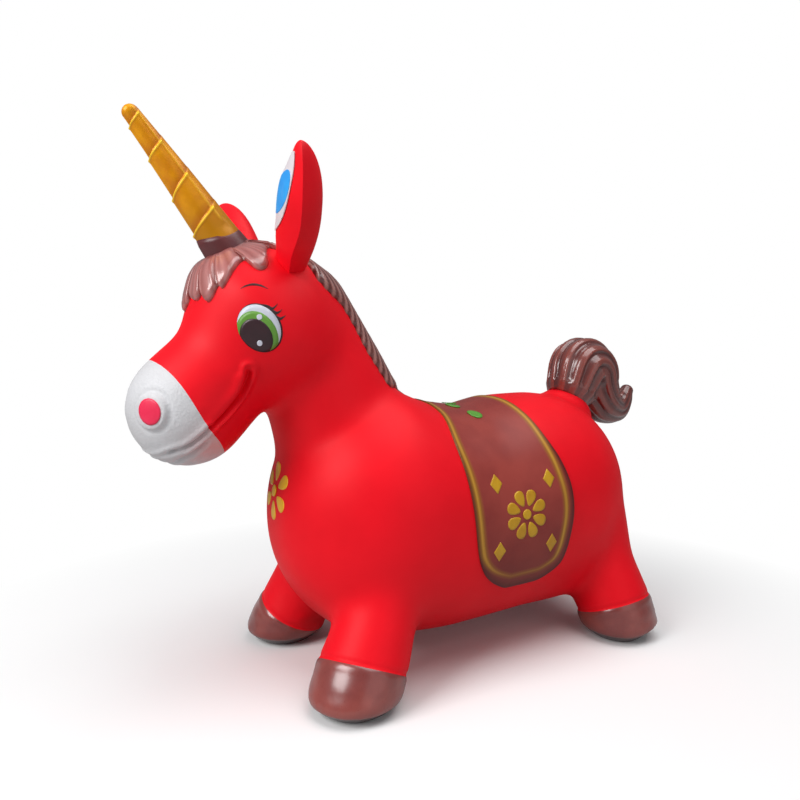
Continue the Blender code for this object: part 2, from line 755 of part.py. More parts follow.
def make_tail(skin, paints):
    """The hollow plume on its root ball, clear of the stub that it turns in."""
    empty = joint_empty("tail_joint", TAIL_BASE)
    form = thinned(plume_form(), PLUME_TRIANGLES)
    plume = solid(form, cut=[skin.relief(TAIL_CLEARANCE)])
    hollow = solid(offset_copy(form, -WALL), cut=[skin.relief(TAIL_CLEARANCE + WALL)])
    below = TAIL_BASE - TAIL_AXIS * 2.0 * TAIL_ROOT_RADIUS
    bore = cylinder(below, TAIL_AXIS, TAIL_BORE_RADIUS, 4.0 * TAIL_ROOT_RADIUS)
    ball = root_ball(TAIL_BASE, TAIL_ROOT_RADIUS)
    piece("tail", plume, paints.brown, empty, join=[ball], cut=[hollow, bore])


def make_valve(skin, paints, body):
    """The valve seat in the rump and its stopper."""
    outside = middle((RUMP_X, VALVE_HEIGHT)) + REAR * FAR
    _, surface, _, _ = skin.outer.ray_cast(outside, -REAR)
    face = surface + REAR * 0.5 * FLANGE_THICKNESS
    flange = cylinder(face, -REAR, FLANGE_RADIUS, FLANGE_THICKNESS)
    tube = cylinder(face, -REAR, TUBE_RADIUS, FLANGE_THICKNESS + TUBE_LENGTH)
    bore_length = 3.0 * FLANGE_THICKNESS + TUBE_LENGTH
    bore = cylinder(face + REAR * FLANGE_THICKNESS, -REAR, BORE_RADIUS, bore_length)
    piece("valve_seat", flange, paints.valve, body, join=[tube], cut=[bore])
    under_head = face + REAR * GAP
    empty = joint_empty("valve_plug_joint", under_head)
    head = cylinder(under_head, REAR, PLUG_HEAD_RADIUS, PLUG_HEAD_THICKNESS)
    fit = BORE_RADIUS - GAP
    shank = cylinder(under_head + REAR * 0.5 * PLUG_HEAD_THICKNESS, -REAR, fit, PLUG_LENGTH, fit - PLUG_TAPER)
    piece("valve_plug", head, paints.valve, empty, join=[shank])


def main():
    clear_scene()
    paints = Paints()
    skin = Skin()
    feet = joint_empty("feet_joint", Vector((0.0, 0.0, 0.0)))
    body = joint_empty("body_joint", middle((0.0, SEAT_HEIGHT)))
    left_out = make_legs(skin, paints, feet)
    make_body(skin, paints, body, left_out)
    make_ears(paints)
    make_horn(paints)
    make_hair(skin, paints, body)
    make_saddle(skin, paints, body)
    make_tail(skin, paints)
    make_valve(skin, paints, body)


main()
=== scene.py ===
# %% [markdown]
# # A bouncy horned horse in soft vinyl
# The toy is one hollow skin of soft PVC, moulded in a spinning mould and then blown up. Its hooves, muzzle, saddle,
# hair and eyes are only paint and low relief on that skin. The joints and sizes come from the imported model, which is
# loaded here as a fixed frame. Everything that shows is modelled on top of it.

# %% Load the frame
import json
import math
from contextlib import contextmanager

import bpy
import numpy as np
from mathutils import Matrix, Vector
from mathutils.bvhtree import BVHTree

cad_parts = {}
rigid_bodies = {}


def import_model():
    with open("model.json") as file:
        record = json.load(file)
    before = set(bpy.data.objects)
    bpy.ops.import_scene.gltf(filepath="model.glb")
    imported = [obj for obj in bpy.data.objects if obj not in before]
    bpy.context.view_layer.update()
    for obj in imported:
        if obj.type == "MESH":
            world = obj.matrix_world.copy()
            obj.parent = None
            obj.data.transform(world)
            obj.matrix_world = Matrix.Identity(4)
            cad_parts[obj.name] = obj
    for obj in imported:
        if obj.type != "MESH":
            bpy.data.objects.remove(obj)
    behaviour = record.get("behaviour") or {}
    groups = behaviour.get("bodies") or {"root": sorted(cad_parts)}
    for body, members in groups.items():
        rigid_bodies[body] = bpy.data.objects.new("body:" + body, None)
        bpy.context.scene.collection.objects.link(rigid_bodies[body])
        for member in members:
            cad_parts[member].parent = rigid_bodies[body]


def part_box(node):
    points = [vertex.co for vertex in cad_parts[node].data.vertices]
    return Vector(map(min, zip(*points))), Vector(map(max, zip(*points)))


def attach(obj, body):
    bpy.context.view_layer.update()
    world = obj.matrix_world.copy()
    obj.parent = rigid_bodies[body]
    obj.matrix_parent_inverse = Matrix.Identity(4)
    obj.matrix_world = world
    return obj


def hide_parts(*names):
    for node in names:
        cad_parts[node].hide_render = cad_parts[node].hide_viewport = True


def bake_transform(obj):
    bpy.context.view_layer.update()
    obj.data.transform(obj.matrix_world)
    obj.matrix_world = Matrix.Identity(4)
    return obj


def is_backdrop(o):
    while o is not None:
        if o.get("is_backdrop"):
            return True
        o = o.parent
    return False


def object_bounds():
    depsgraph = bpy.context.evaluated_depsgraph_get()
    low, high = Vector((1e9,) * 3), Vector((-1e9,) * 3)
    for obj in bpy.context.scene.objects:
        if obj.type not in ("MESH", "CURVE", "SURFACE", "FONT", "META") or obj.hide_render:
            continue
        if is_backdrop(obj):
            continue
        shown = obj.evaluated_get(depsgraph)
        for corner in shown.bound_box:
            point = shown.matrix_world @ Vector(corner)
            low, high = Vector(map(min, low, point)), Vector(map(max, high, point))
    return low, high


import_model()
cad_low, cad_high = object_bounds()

# %% [markdown]
# ## The camera
# The camera comes first, because the painted details are placed by looking through it. It stands at the height of
# the head, in front of the horse's left side, as the photographer did.

# %% Set the camera
CAMERA_PLACE = Vector((0.386, 0.631, 0.328))
CAMERA_BACK = Vector((0.4793, 0.8754, 0.0621)).normalized()
FOCAL_PIXELS = 640.0
PICTURE_SIZE = 800.0
SENSOR_MM = 36.0

bpy.ops.object.camera_add(location=CAMERA_PLACE)
camera = bpy.context.object
camera.rotation_mode = "QUATERNION"
camera.rotation_quaternion = (-CAMERA_BACK).to_track_quat("-Z", "Y")
camera.data.sensor_width = SENSOR_MM
camera.data.lens = SENSOR_MM * FOCAL_PIXELS / PICTURE_SIZE
camera.data.clip_start = 0.01
bpy.context.scene.camera = camera
print("lens in mm:", round(camera.data.lens, 1))

# %% [markdown]
# ## The skin's tubes
# A balloon animal is a row of swollen tubes, and this skin can be thought of in the same way. Each tube starts as a
# circle, and is extruded from ring to ring: at every ring the end is moved, scaled and tilted. The two ends close
# with a dome, which is only a few more rings that get smaller. Sculpting could give the same forms, but rings are set
# by a few numbers and are easy to correct.

# %% A tube by extrusion
SLICES = 64
DOME_STEPS = 8


def take(obj):
    """Makes obj the only selected object and the active one."""
    bpy.ops.object.select_all(action="DESELECT")
    obj.select_set(True)
    bpy.context.view_layer.objects.active = obj


@contextmanager
def all_of(obj):
    """Edit mode with the whole mesh selected, and back to object mode."""
    take(obj)
    bpy.ops.object.mode_set(mode="EDIT")
    bpy.ops.mesh.select_all(action="SELECT")
    yield
    bpy.ops.object.mode_set(mode="OBJECT")


def dome(ring, reach):
    """Shrinking rings that round off an end. A negative reach rounds off the start."""
    place, lean, width, depth = ring
    axis = Vector((math.sin(lean), 0.0, math.cos(lean)))
    turns = [0.5 * math.pi * i / DOME_STEPS for i in range(1, DOME_STEPS)]
    rings = [(place + axis * reach * math.sin(t), lean, width * math.cos(t), depth * math.cos(t)) for t in turns]
    return rings if reach > 0.0 else rings[::-1]


def tube(name, rings, fullness=1.0, slices=SLICES):
    """One circle, extruded through rings of (centre, lean about Y, half width along Y, half depth)."""
    bpy.ops.object.select_all(action="DESELECT")
    bpy.ops.mesh.primitive_circle_add(vertices=slices, radius=1.0, fill_type="NGON")
    obj = bpy.context.object
    obj.name = name
    for vert in obj.data.vertices:
        for axis in (0, 1):
            vert.co[axis] = math.copysign(abs(vert.co[axis]) ** fullness, vert.co[axis])
    last_place, last_lean, last_width, last_depth = Vector(), 0.0, 1.0, 1.0
    with all_of(obj):
        for i, (place, lean, width, depth) in enumerate(rings):
            move = {"value": place - last_place}
            if i == 0:
                bpy.ops.transform.translate(**move)
            else:
                bpy.ops.mesh.extrude_region_move(TRANSFORM_OT_translate=move)
            bpy.ops.transform.rotate(value=last_lean, orient_axis="Y", center_override=place)
            bpy.ops.transform.resize(value=(depth / last_depth, width / last_width, 1.0), center_override=place)
            bpy.ops.transform.rotate(value=-lean, orient_axis="Y", center_override=place)
            last_place, last_lean, last_width, last_depth = place, lean, width, depth
    return obj


def rounded(rings, start, end):
    """Adds a dome of its own reach to each end."""
    return dome(rings[0], -start) + rings + dome(rings[-1], end)


print("points in a ring:", SLICES, "and rings in a dome:", DOME_STEPS - 1)

# %% [markdown]
# ## Barrel, neck, head and tail stub
# The barrel is a little squared in section, because an inflated body flattens on its back and belly. The neck rises
# from the chest, and the head is one tube from the cranium over the bridge of the nose to the muzzle. Few rings are
# better than many here, because a curve through few rings stays smooth.

# %% Extrude the body's tubes
def middle(x, z):
    return Vector((x, 0.0, z))


def lean_of(start, end):
    return math.atan2(end.x - start.x, end.z - start.z)


FLAT_ON_X = math.radians(90.0)
BARREL_REAR, BARREL_LENGTH = -0.142, 0.213
tops = (0.2885, 0.2865, 0.2742, 0.2812, 0.3020)
bottoms = (0.0290, 0.0310, 0.0290, 0.0265, 0.0300)
half_widths = (0.1190, 0.124, 0.124, 0.124, 0.124)
barrel_rings = []
for i, (top, bottom, half_width) in enumerate(zip(tops, bottoms, half_widths)):
    place = middle(BARREL_REAR + BARREL_LENGTH * i / (len(tops) - 1), 0.5 * (top + bottom))
    barrel_rings.append((place, FLAT_ON_X, half_width, 0.5 * (top - bottom)))
barrel = tube("skin", rounded(barrel_rings, 0.117, 0.120), fullness=0.92)

neck_lean = lean_of(middle(0.082, 0.190), middle(0.158, 0.344))
neck_rings = [
    (middle(0.084, 0.192), neck_lean, 0.107, 0.109),
    (middle(0.1195, 0.2672), neck_lean, 0.0645, 0.0705),
    (middle(0.1355, 0.3072), neck_lean, 0.0620, 0.0640),
    (middle(0.1530, 0.3464), neck_lean, 0.0575, 0.0575),
    (middle(0.1688, 0.3790), neck_lean, 0.0545, 0.0535),
]
neck = tube("neck_tube", rounded(neck_rings, 0.020, 0.040))

HEAD = middle(0.2010, 0.356)
MUZZLE = middle(0.2712, 0.2830)
face_lean = lean_of(HEAD, MUZZLE)
head_rings = [
    (HEAD, face_lean, 0.082, 0.085),
    (HEAD.lerp(MUZZLE, 0.52), face_lean, 0.056, 0.0545),
    (MUZZLE, face_lean, 0.058, 0.057),
]
head = tube("head_tube", rounded(head_rings, 0.085, 0.057))

TAIL_BASE = middle(-0.219, 0.282)
TAIL_LEAN = math.radians(-36.0)
TAIL_AXIS = Vector((math.sin(TAIL_LEAN), 0.0, math.cos(TAIL_LEAN)))
stub_rings = [(TAIL_BASE - TAIL_AXIS * 0.074, TAIL_LEAN, 0.046, 0.046),
              (TAIL_BASE - TAIL_AXIS * 0.010, TAIL_LEAN, 0.034, 0.034)]
stub = tube("stub_tube", rounded(stub_rings, 0.020, 0.008))
print("rings in the barrel:", len(barrel_rings) + 2 * (DOME_STEPS - 1))

# %% [markdown]
# ## Four legs
# Each leg is a stub with a swollen hoof. The front legs lean back into the chest as they rise, the rear ones lean
# forward into the belly, and all four lean inwards. Their tops end deep inside the barrel, so that no gap is left when
# the tubes are fused.

# %% Extrude the legs
LEG_TOP = 0.150
LEG_LEAN_IN = 0.034
leg_specs = {
    "front_left": (0.1480, 0.0972, -0.074), "front_right": (0.1518, -0.0970, -0.054),
    "rear_left": (-0.2115, 0.098, 0.024), "rear_right": (-0.2115, -0.098, 0.024),
}


def leg_at(name, height):
    """The middle of a leg at a height above the floor."""
    x, y, lean_x = leg_specs[name]
    share = height / LEG_TOP
    return Vector((x + lean_x * share, y - math.copysign(LEG_LEAN_IN, y) * share, height))


legs = []
for name, (x, y, lean_x) in leg_specs.items():
    stretch = math.hypot(lean_x, LEG_TOP) / LEG_TOP
    leg_rings = [(leg_at(name, 0.016), 0.0, 0.0448, 0.0453), (leg_at(name, 0.0330), 0.0, 0.0472, 0.0477)]
    ankle, hip = (0.0408, 0.049) if x > 0.0 else (0.0440, 0.042)
    for height, radius in ((0.049, ankle), (0.098, 0.0360), (LEG_TOP, hip)):
        leg_rings.append((leg_at(name, height), 0.0, radius * 1.025, radius * stretch))
    legs.append(tube(name + "_tube", rounded(leg_rings, 0.0222, 0.020)))
print("legs:", len(legs))

# %% [markdown]
# ## One skin from eight tubes
# The tubes are joined, and a voxel remesh fuses them into one closed skin. A long smoothing then fills the corners
# between them with the soft fillets that air pressure gives. Last, the soles are cut flat on the floor, as the
# weight of the toy presses them. A boolean union would keep hard seams, which a moulded skin doesn't have.

# %% Fuse, relax and cut the soles
VOXEL = 0.0036
RELAX_ROUNDS = 78


def join(name, parts):
    """Joins objects into the first of them."""
    take(parts[0])
    for part in parts[1:]:
        part.select_set(True)
    bpy.ops.object.join()
    bpy.context.object.name = name
    return bpy.context.object


def apply_modifier(obj, kind, **settings):
    """Adds a modifier with these settings and applies it."""
    take(obj)
    modifier = obj.modifiers.new(kind.lower(), kind)
    for key, value in settings.items():
        setattr(modifier, key, value)
    bpy.ops.object.modifier_apply(modifier=modifier.name)


def cut_plane(obj, point, normal, clear_below=False, fill=False):
    """Cuts all of obj along a plane, and can drop and close what lies below it."""
    with all_of(obj):
        bpy.ops.mesh.bisect(plane_co=point, plane_no=normal, clear_inner=clear_below, use_fill=fill)


skin = join("skin", [barrel, neck, head, stub] + legs)
apply_modifier(skin, "REMESH", mode="VOXEL", voxel_size=VOXEL)
apply_modifier(skin, "SMOOTH", factor=0.5, iterations=RELAX_ROUNDS)
cut_plane(skin, (0.0, 0.0, 0.0), (0.0, 0.0, 1.0), clear_below=True, fill=True)
print("faces in the skin:", len(skin.data.polygons))

# %% [markdown]
# ## Finer mesh where there is detail
# The face and the hooves carry folds a few millimetres wide, so their faces are subdivided. Straight after it the new
# points are smoothed, or the old flat faces would show as facets.

# %% Subdivide the face and the hooves
def rows_of(items, field):
    """Three numbers for each point or face, as rows."""
    flat = np.empty(3 * len(items))
    items.foreach_get(field, flat)
    return flat.reshape(-1, 3)


def coords(obj):
    return rows_of(obj.data.vertices, "co")


def normals(obj):
    return rows_of(obj.data.vertices, "normal")


def face_centres(obj):
    return rows_of(obj.data.polygons, "center")


def set_coords(obj, spots):
    obj.data.vertices.foreach_set("co", np.asarray(spots).ravel())
    obj.data.update()


@contextmanager
def faces_of(obj, chosen):
    """Edit mode with these faces selected, by a list of True and False, and back to object mode."""
    take(obj)
    bpy.ops.object.mode_set(mode="EDIT")
    bpy.ops.mesh.select_mode(type="FACE")
    bpy.ops.mesh.select_all(action="DESELECT")
    bpy.ops.object.mode_set(mode="OBJECT")
    obj.data.polygons.foreach_set("select", np.asarray(chosen, dtype=bool))
    bpy.ops.object.mode_set(mode="EDIT")
    yield
    bpy.ops.object.mode_set(mode="OBJECT")


def refine(obj, chosen, smooth_rounds=6):
    """Splits the chosen faces in four and relaxes them."""
    with faces_of(obj, chosen):
        bpy.ops.mesh.subdivide(number_cuts=1)
        bpy.ops.mesh.vertices_smooth(factor=0.5, repeat=smooth_rounds)


def fold_zone(spots):
    """The mouth, nostrils and cheek folds, where the mesh is finest."""
    return (spots[:, 0] > 0.226) & (spots[:, 2] < 0.328) & (spots[:, 2] > 0.220)


spots = face_centres(skin)
refine(skin, (spots[:, 0] > 0.215) & (spots[:, 2] > 0.218) & (spots[:, 2] < 0.362))
spots = face_centres(skin)
refine(skin, fold_zone(spots))
spots = face_centres(skin)
hoof_zone = (spots[:, 2] < 0.064) & (spots[:, 2] > 0.002) & (np.abs(spots[:, 1]) > 0.04)
refine(skin, hoof_zone & ((spots[:, 0] > 0.07) | (spots[:, 0] < -0.14)), smooth_rounds=4)
print("faces after refining:", len(skin.data.polygons))

# %% [markdown]
# ## Looking through the camera
# The folds and the painted details are drawn where the photographer sees them. A ray from the camera through a point
# of the picture meets the skin at one place, and that place then holds for every view. The other side of the horse
# is the mirror image.

# %% Find skin points through the camera
CURVE_STEPS = 16
camera_axes = camera.rotation_quaternion.to_matrix()


def surface_of(obj):
    return BVHTree.FromPolygons([v.co for v in obj.data.vertices], [p.vertices for p in obj.data.polygons])


def look(surface, across, down):
    """The point of a surface under a point of the picture, or None beside it."""
    right, up = (across - 0.5 * PICTURE_SIZE) / FOCAL_PIXELS, (0.5 * PICTURE_SIZE - down) / FOCAL_PIXELS
    view = camera_axes @ Vector((right, up, -1.0))
    return surface.ray_cast(CAMERA_PLACE, view.normalized())[0]


def seen(surface, across, down):
    """As look, for a point that has to be there."""
    place = look(surface, across, down)
    if place is None:
        raise ValueError(f"no surface at {across}, {down}")
    return place


def lengths(path):
    """Length along a path up to each of its points."""
    return np.concatenate([[0.0], np.cumsum(np.linalg.norm(np.diff(path, axis=0), axis=1))])


def smooth_path(points, count=80):
    """Even points on a smooth curve through the given ones."""
    knots = [Vector(p) for p in points]
    knots = [2.0 * knots[0] - knots[1]] + knots + [2.0 * knots[-1] - knots[-2]]
    curve = []
    for a, b, c, d in zip(knots, knots[1:], knots[2:], knots[3:]):
        for i in range(CURVE_STEPS):
            t = i / CURVE_STEPS
            curve.append(0.5 * (2.0 * b + (c - a) * t + (2.0 * a - 5.0 * b + 4.0 * c - d) * t * t
                                + (3.0 * b - 3.0 * c + d - a) * t ** 3))
    curve = np.array(curve + [knots[-2]])
    run = lengths(curve)
    even = np.linspace(0.0, run[-1], count)
    return np.stack([np.interp(even, run, curve[:, k]) for k in range(3)], axis=1)


bare = surface_of(skin)
print("height of the camera in mm:", round(1000.0 * CAMERA_PLACE.z))

# %% [markdown]
# ## Lines of the face
# The mould has three lines on each side of the face: the smile, the mouth and the fold of the chin. Each is drawn
# through a few points of the picture. The mouth and the chin end on the middle plane, where the two sides meet, and
# that end is found by halving a line in the picture again and again. The mesh is then subdivided once more along the
# lines.

# %% Draw the smile, mouth and chin
HALVINGS = 24


def middle_between(start, end):
    """Where a line between two picture points meets the middle line of the skin."""
    for _ in range(HALVINGS):
        half_way = tuple(0.5 * (a + b) for a, b in zip(start, end))
        place = look(bare, *half_way)
        if place is not None and place.y > 0.0:
            start = half_way
        else:
            end = half_way
    place = seen(bare, *start)
    return Vector((place.x, 0.0, place.z))


smile = smooth_path([seen(bare, *spot) for spot in (
    (210.5, 427.4), (216.2, 423.0), (226.4, 412.8), (236.6, 400.0), (243.0, 389.8), (247.8, 377.0), (249.4, 368.8))])
mouth = smooth_path([seen(bare, *spot) for spot in (
    (210.4, 428.4), (199.8, 438.0), (187.1, 446.6), (171.8, 451.8))] + [
        middle_between((171.8, 451.8), (146.0, 453.0))])
chin = smooth_path([seen(bare, *spot) for spot in (
    (210.5, 438.6), (199.5, 448.0), (190.4, 455.0), (180.2, 460.0))] + [
        middle_between((180.2, 460.0), (160.0, 463.0))])


def near_lines(spots, paths, reach):
    """Which spots lie close to one of the lines, on either side of the face."""
    zone = np.flatnonzero(fold_zone(spots))
    half = np.abs(spots[zone])
    close = np.zeros(len(spots), dtype=bool)
    for path in paths:
        close[zone] |= np.linalg.norm(half[:, None, :] - path[None, :, :], axis=2).min(axis=1) < reach
    return close


refine(skin, near_lines(face_centres(skin), (smile, mouth, chin), 0.0070), smooth_rounds=4)
print("faces with the fold lines refined:", len(skin.data.polygons))
print("length of the smile in mm:", round(1000.0 * lengths(smile)[-1]))

# %% [markdown]
# ## Smile, lips and nostrils
# The mould has a deep smile line with a full cheek above it and a thin lip below, a mouth line, a rolled lower lip and
# two round nostril rims. A bump in the material would look flat from the side, so each is pressed into the mesh: a
# point moves along its normal by a height that depends on how far it is from the drawn line.

# %% Press the folds into the face
def beside(path, spots, directions):
    """Signed distance of each spot to a line, positive to its left, and the share along it."""
    gaps = np.linalg.norm(spots[:, None, :] - path[None, :, :], axis=2)
    nearest = gaps.argmin(axis=1)
    tangents = np.gradient(path, axis=0)
    left = np.cross(directions, tangents[nearest])
    side = np.sign(np.einsum("ij,ij->i", left, spots - path[nearest]))
    return gaps.min(axis=1) * side, nearest / (len(path) - 1.0)


def bell(distance, width):
    """A soft hump of height 1 around zero."""
    return np.exp(-(distance / width) ** 2)


def ease(values, start, end):
    """Rises smoothly from 0 at the start to 1 at the end."""
    share = np.clip((values - start) / (end - start), 0.0, 1.0)
    return share * share * (3.0 - 2.0 * share)


SMILE_DEPTH, LIP_RISE, CHEEK_RISE = 0.0046, 0.0022, 0.0030
MOUTH_DEPTH, CHIN_DEPTH, NOSTRIL_RISE = 0.0040, 0.0034, 0.0026
spots, directions = coords(skin), normals(skin)
mirrored = np.where(spots[:, 1:2] < 0.0, [[1.0, -1.0, 1.0]], [[1.0, 1.0, 1.0]])
face = np.flatnonzero((spots[:, 0] > 0.19) & (spots[:, 2] > 0.21) & (spots[:, 2] < 0.36))
half, half_directions = (spots * mirrored)[face], (directions * mirrored)[face]
height = np.zeros(len(face))

offset, share = beside(smile, half, half_directions)
start, end = ease(share + 0.05, 0.0, 0.12), ease(share, 0.80, 1.0)
groove = bell(offset, 0.0016 + 0.0007 * ease(share, 0.2, 0.9))
height -= SMILE_DEPTH * start * ease(1.0 - share, 0.0, 0.06) * groove
lip_ridge = LIP_RISE * bell(offset + 0.0046 + 0.0006 * end, 0.0022 + 0.0008 * end)
cheek_full = 0.35 + 0.65 * ease(share, 0.30, 0.65)
cheek_line = bell(offset - 0.0060 + 0.0008 * end, 0.0052 - 0.0022 * end)
cheek_ridge = cheek_full * (CHEEK_RISE - 0.0008 * end) * cheek_line
height += start * np.where(offset < 0.0, lip_ridge, cheek_ridge)
CHEEK = np.array(seen(bare, 237.0, 374.0))
height += 0.0020 * bell(np.linalg.norm(half - CHEEK, axis=1), 0.016)

offset, share = beside(mouth, half, half_directions)
fold = -MOUTH_DEPTH * bell(offset, 0.0015) + 0.0015 * bell(np.abs(offset) - 0.0046, 0.0028)
height += (1.0 - 0.20 * ease(share, 0.6, 1.0)) * fold

offset, share = beside(chin, half, half_directions)
fold = -CHIN_DEPTH * bell(offset, 0.0019) + 0.0010 * bell(np.abs(offset) - 0.0055, 0.0030)
height += ease(share + 0.02, 0.0, 0.15) * (1.0 - 0.6 * ease(share, 0.6, 1.0)) * fold

NOSTRIL = np.array(seen(bare, 150.0, 411.8))
rim = np.linalg.norm(half - NOSTRIL, axis=1)
height += NOSTRIL_RISE * (1.0 - ease(rim, 0.0140, 0.0178)) - 0.0008 * bell(rim - 0.0190, 0.0020)
spots[face] += directions[face] * height[:, None]
set_coords(skin, spots)
print("deepest fold in mm:", round(-1000.0 * height.min(), 1))

# %% [markdown]
# ## Hooves
# A hoof has steep sides down to a sharp rim and a bevel under it, and the rear ones are cut off further at the back.
# The Bevel modifier would need a clean ring of edges, which a remeshed skin hasn't, so a row of points is cut in at the
# rim, and every level of the hoof is then scaled to its new radius.

# %% Shape the hooves
RIM_HEIGHT = 0.0110
RIM_OUT = 0.0032
BEVEL = 1.15
HOOF_TOP, HOOF_LEVELS = 0.032, 17
REAR_CUT = 0.0080
cut_plane(skin, (0.0, 0.0, RIM_HEIGHT), (0.0, 0.0, 1.0))
spots = coords(skin)
for x, y, _ in leg_specs.values():
    near = np.flatnonzero((np.hypot(spots[:, 0] - x, spots[:, 1] - y) < 0.07) & (spots[:, 2] < HOOF_TOP))
    low = spots[near]
    centre = low[:, :2].mean(axis=0)
    gap, level = low[:, :2] - centre, low[:, 2]
    reach = np.hypot(*gap.T)
    heights = np.linspace(0.0, HOOF_TOP, HOOF_LEVELS)
    plain_reach = [np.median(reach[np.abs(level - h) < 0.0018]) for h in heights]
    was = np.interp(level, heights, plain_reach)
    back = np.maximum(0.0, (gap @ np.array((-0.8 if x < 0.0 else 0.0, math.copysign(0.6, y)))) / reach)
    rim_level = RIM_HEIGHT + (REAR_CUT * back ** 2 if x < 0.0 else 0.0)
    full = was + RIM_OUT * (1.0 - ease(level, RIM_HEIGHT, 0.030))
    bevel = np.interp(RIM_HEIGHT, heights, plain_reach) + RIM_OUT - BEVEL * (rim_level - level)
    low[:, :2] = centre + gap * (np.minimum(full, bevel) / was)[:, None]
    spots[near] = low
set_coords(skin, spots)
print("height of the hooves' rim in mm:", 1000.0 * RIM_HEIGHT)

# %% [markdown]
# ## Grooves above the hooves
# A shallow groove runs round each leg just above the paint, and the hoof swells a little below it. Both follow the
# paint line, a plane that is square to the leg, so the height of each point over that plane says how far it moves. At
# the end the folds of the face are relaxed a little, which takes off the last facets.

# %% Press the grooves
SWELL, GROOVE = 0.0006, 0.0010
directions = normals(skin)
hoof_lines = {}
for name, (x, y, _) in leg_specs.items():
    slope = (-0.444, -0.340, 1.0) if x > 0.0 else (0.113, -0.368, 1.0)
    normal = (Vector(slope) * Vector((1.0, math.copysign(1.0, y), 1.0))).normalized()
    hoof_lines[name] = (leg_at(name, 0.0340 if x > 0.0 else 0.0365), normal)
    near = np.flatnonzero((np.hypot(spots[:, 0] - x, spots[:, 1] - y) < 0.075) & (spots[:, 2] < 0.095))
    over = (spots[near] - np.array(hoof_lines[name][0])) @ np.array(normal)
    swell = SWELL * bell(over + 0.004, 0.004) - GROOVE * bell(over - 0.002, 0.0024)
    spots[near] += directions[near] * (swell * ease(spots[near][:, 2], 0.012, 0.024))[:, None]
set_coords(skin, spots)
with faces_of(skin, fold_zone(face_centres(skin))):
    bpy.ops.mesh.vertices_smooth(factor=0.5, repeat=2)
print("paint lines on the legs:", len(hoof_lines))

# %% [markdown]
# ## Muzzle as a piece of its own
# On the toy the white is a paint mask: the painter sprays through a shell that ends at a sharp line. Here the skin is
# cut along that line, and the painted part becomes a piece that shares the cut edge with the skin. The line isn't
# quite straight, so the mesh is bent before the straight cut and bent back after it. Below the mouth the white runs a
# little further back, which gives the lower lip its step.

# %% Cut off the muzzle
edge_spots = [seen(bare, *spot) for spot in (
    (160.0, 366.5), (169.0, 373.6), (181.8, 388.5), (193.3, 402.6), (209.8, 427.4))]
muzzle_line = sum(edge_spots, Vector()) / len(edge_spots)
edge_run = edge_spots[-1] - edge_spots[0]
muzzle_normal = Vector((-edge_run.z, 0.0, edge_run.x)).normalized()
muzzle_normal *= math.copysign(1.0, muzzle_normal.x)
lip_line = seen(bare, 219.5, 441.0)
mouth_slope = Vector((mouth[0][2] - mouth[-1][2], 0.0, mouth[-1][0] - mouth[0][0])).normalized()


def cut_faces(obj, chosen, point, normal):
    """Cuts only the chosen faces along a plane."""
    with faces_of(obj, chosen):
        bpy.ops.mesh.bisect(plane_co=point, plane_no=normal)


def above(spots, point, normal):
    """Height of each spot over a plane."""
    return (spots - np.array(point)) @ np.array(normal)


def split_off(obj, chosen, name):
    """Separates the chosen faces into a new object."""
    others = set(bpy.data.objects)
    with faces_of(obj, chosen):
        bpy.ops.mesh.separate(type="SELECTED")
    part = (set(bpy.data.objects) - others).pop()
    part.name = name
    return part


FULL_TURN = 2.0 * math.pi
EDGE_WAVE = 0.0017
muzzle_top = Vector((-muzzle_normal.z, 0.0, muzzle_normal.x))


def nose_turns(spots):
    """Turn of each spot around the muzzle, from the top of the nose down either side."""
    gaps = spots - np.array(MUZZLE)
    return np.arctan2(np.abs(gaps[:, 1]), gaps @ np.array(muzzle_top))


corner_turn = nose_turns(mouth[:1])[0]


def edge_wave(spots):
    """How far the edge of the white swings forward, between the top of the nose and the mouth's corner."""
    turns = nose_turns(spots)
    fade = 1.0 - ease(turns, corner_turn, corner_turn + math.radians(25.0))
    wave = EDGE_WAVE * np.cos(FULL_TURN * np.minimum(turns / corner_turn, 1.0)) * fade
    return np.where((spots[:, 0] > 0.19) & (spots[:, 2] > 0.20), wave, 0.0)[:, None] * np.array(muzzle_normal)


set_coords(skin, coords(skin) - edge_wave(coords(skin)))
for point in (muzzle_line, lip_line):
    spots = face_centres(skin)
    cut_faces(skin, (spots[:, 0] > 0.20) & (spots[:, 2] > 0.20) & (spots[:, 2] < 0.36), point, muzzle_normal)
spots = face_centres(skin)
strip = (above(spots, lip_line, muzzle_normal) > 0.0) & (above(spots, muzzle_line, muzzle_normal) < 0.0)
cut_faces(skin, strip & (spots[:, 0] > 0.20) & (spots[:, 2] < 0.36), mouth[0], mouth_slope)

spots = face_centres(skin)
low_lip = (above(spots, lip_line, muzzle_normal) > 0.0) & (above(spots, mouth[0], mouth_slope) < 0.0)
low_lip &= (spots[:, 0] > 0.23) & (spots[:, 2] < 0.30)
nose = (above(spots, muzzle_line, muzzle_normal) > 0.0) & (spots[:, 0] > 0.20)
muzzle = split_off(skin, nose | low_lip, "muzzle")
for obj in (skin, muzzle):
    set_coords(obj, coords(obj) + edge_wave(coords(obj)))
print("faces in the muzzle:", len(muzzle.data.polygons))

# %% [markdown]
# ## Hooves as pieces of their own
# The brown of a hoof ends at its paint line in the same way. Only the faces around one leg are cut, because the plane
# of one leg would also run through the others.

# %% Cut off the hooves
def on_leg(spots, point):
    """Which spots belong to the lower leg around a point."""
    return (np.linalg.norm(spots[:, :2] - np.array(point)[:2], axis=1) < 0.075) & (spots[:, 2] < 0.09)


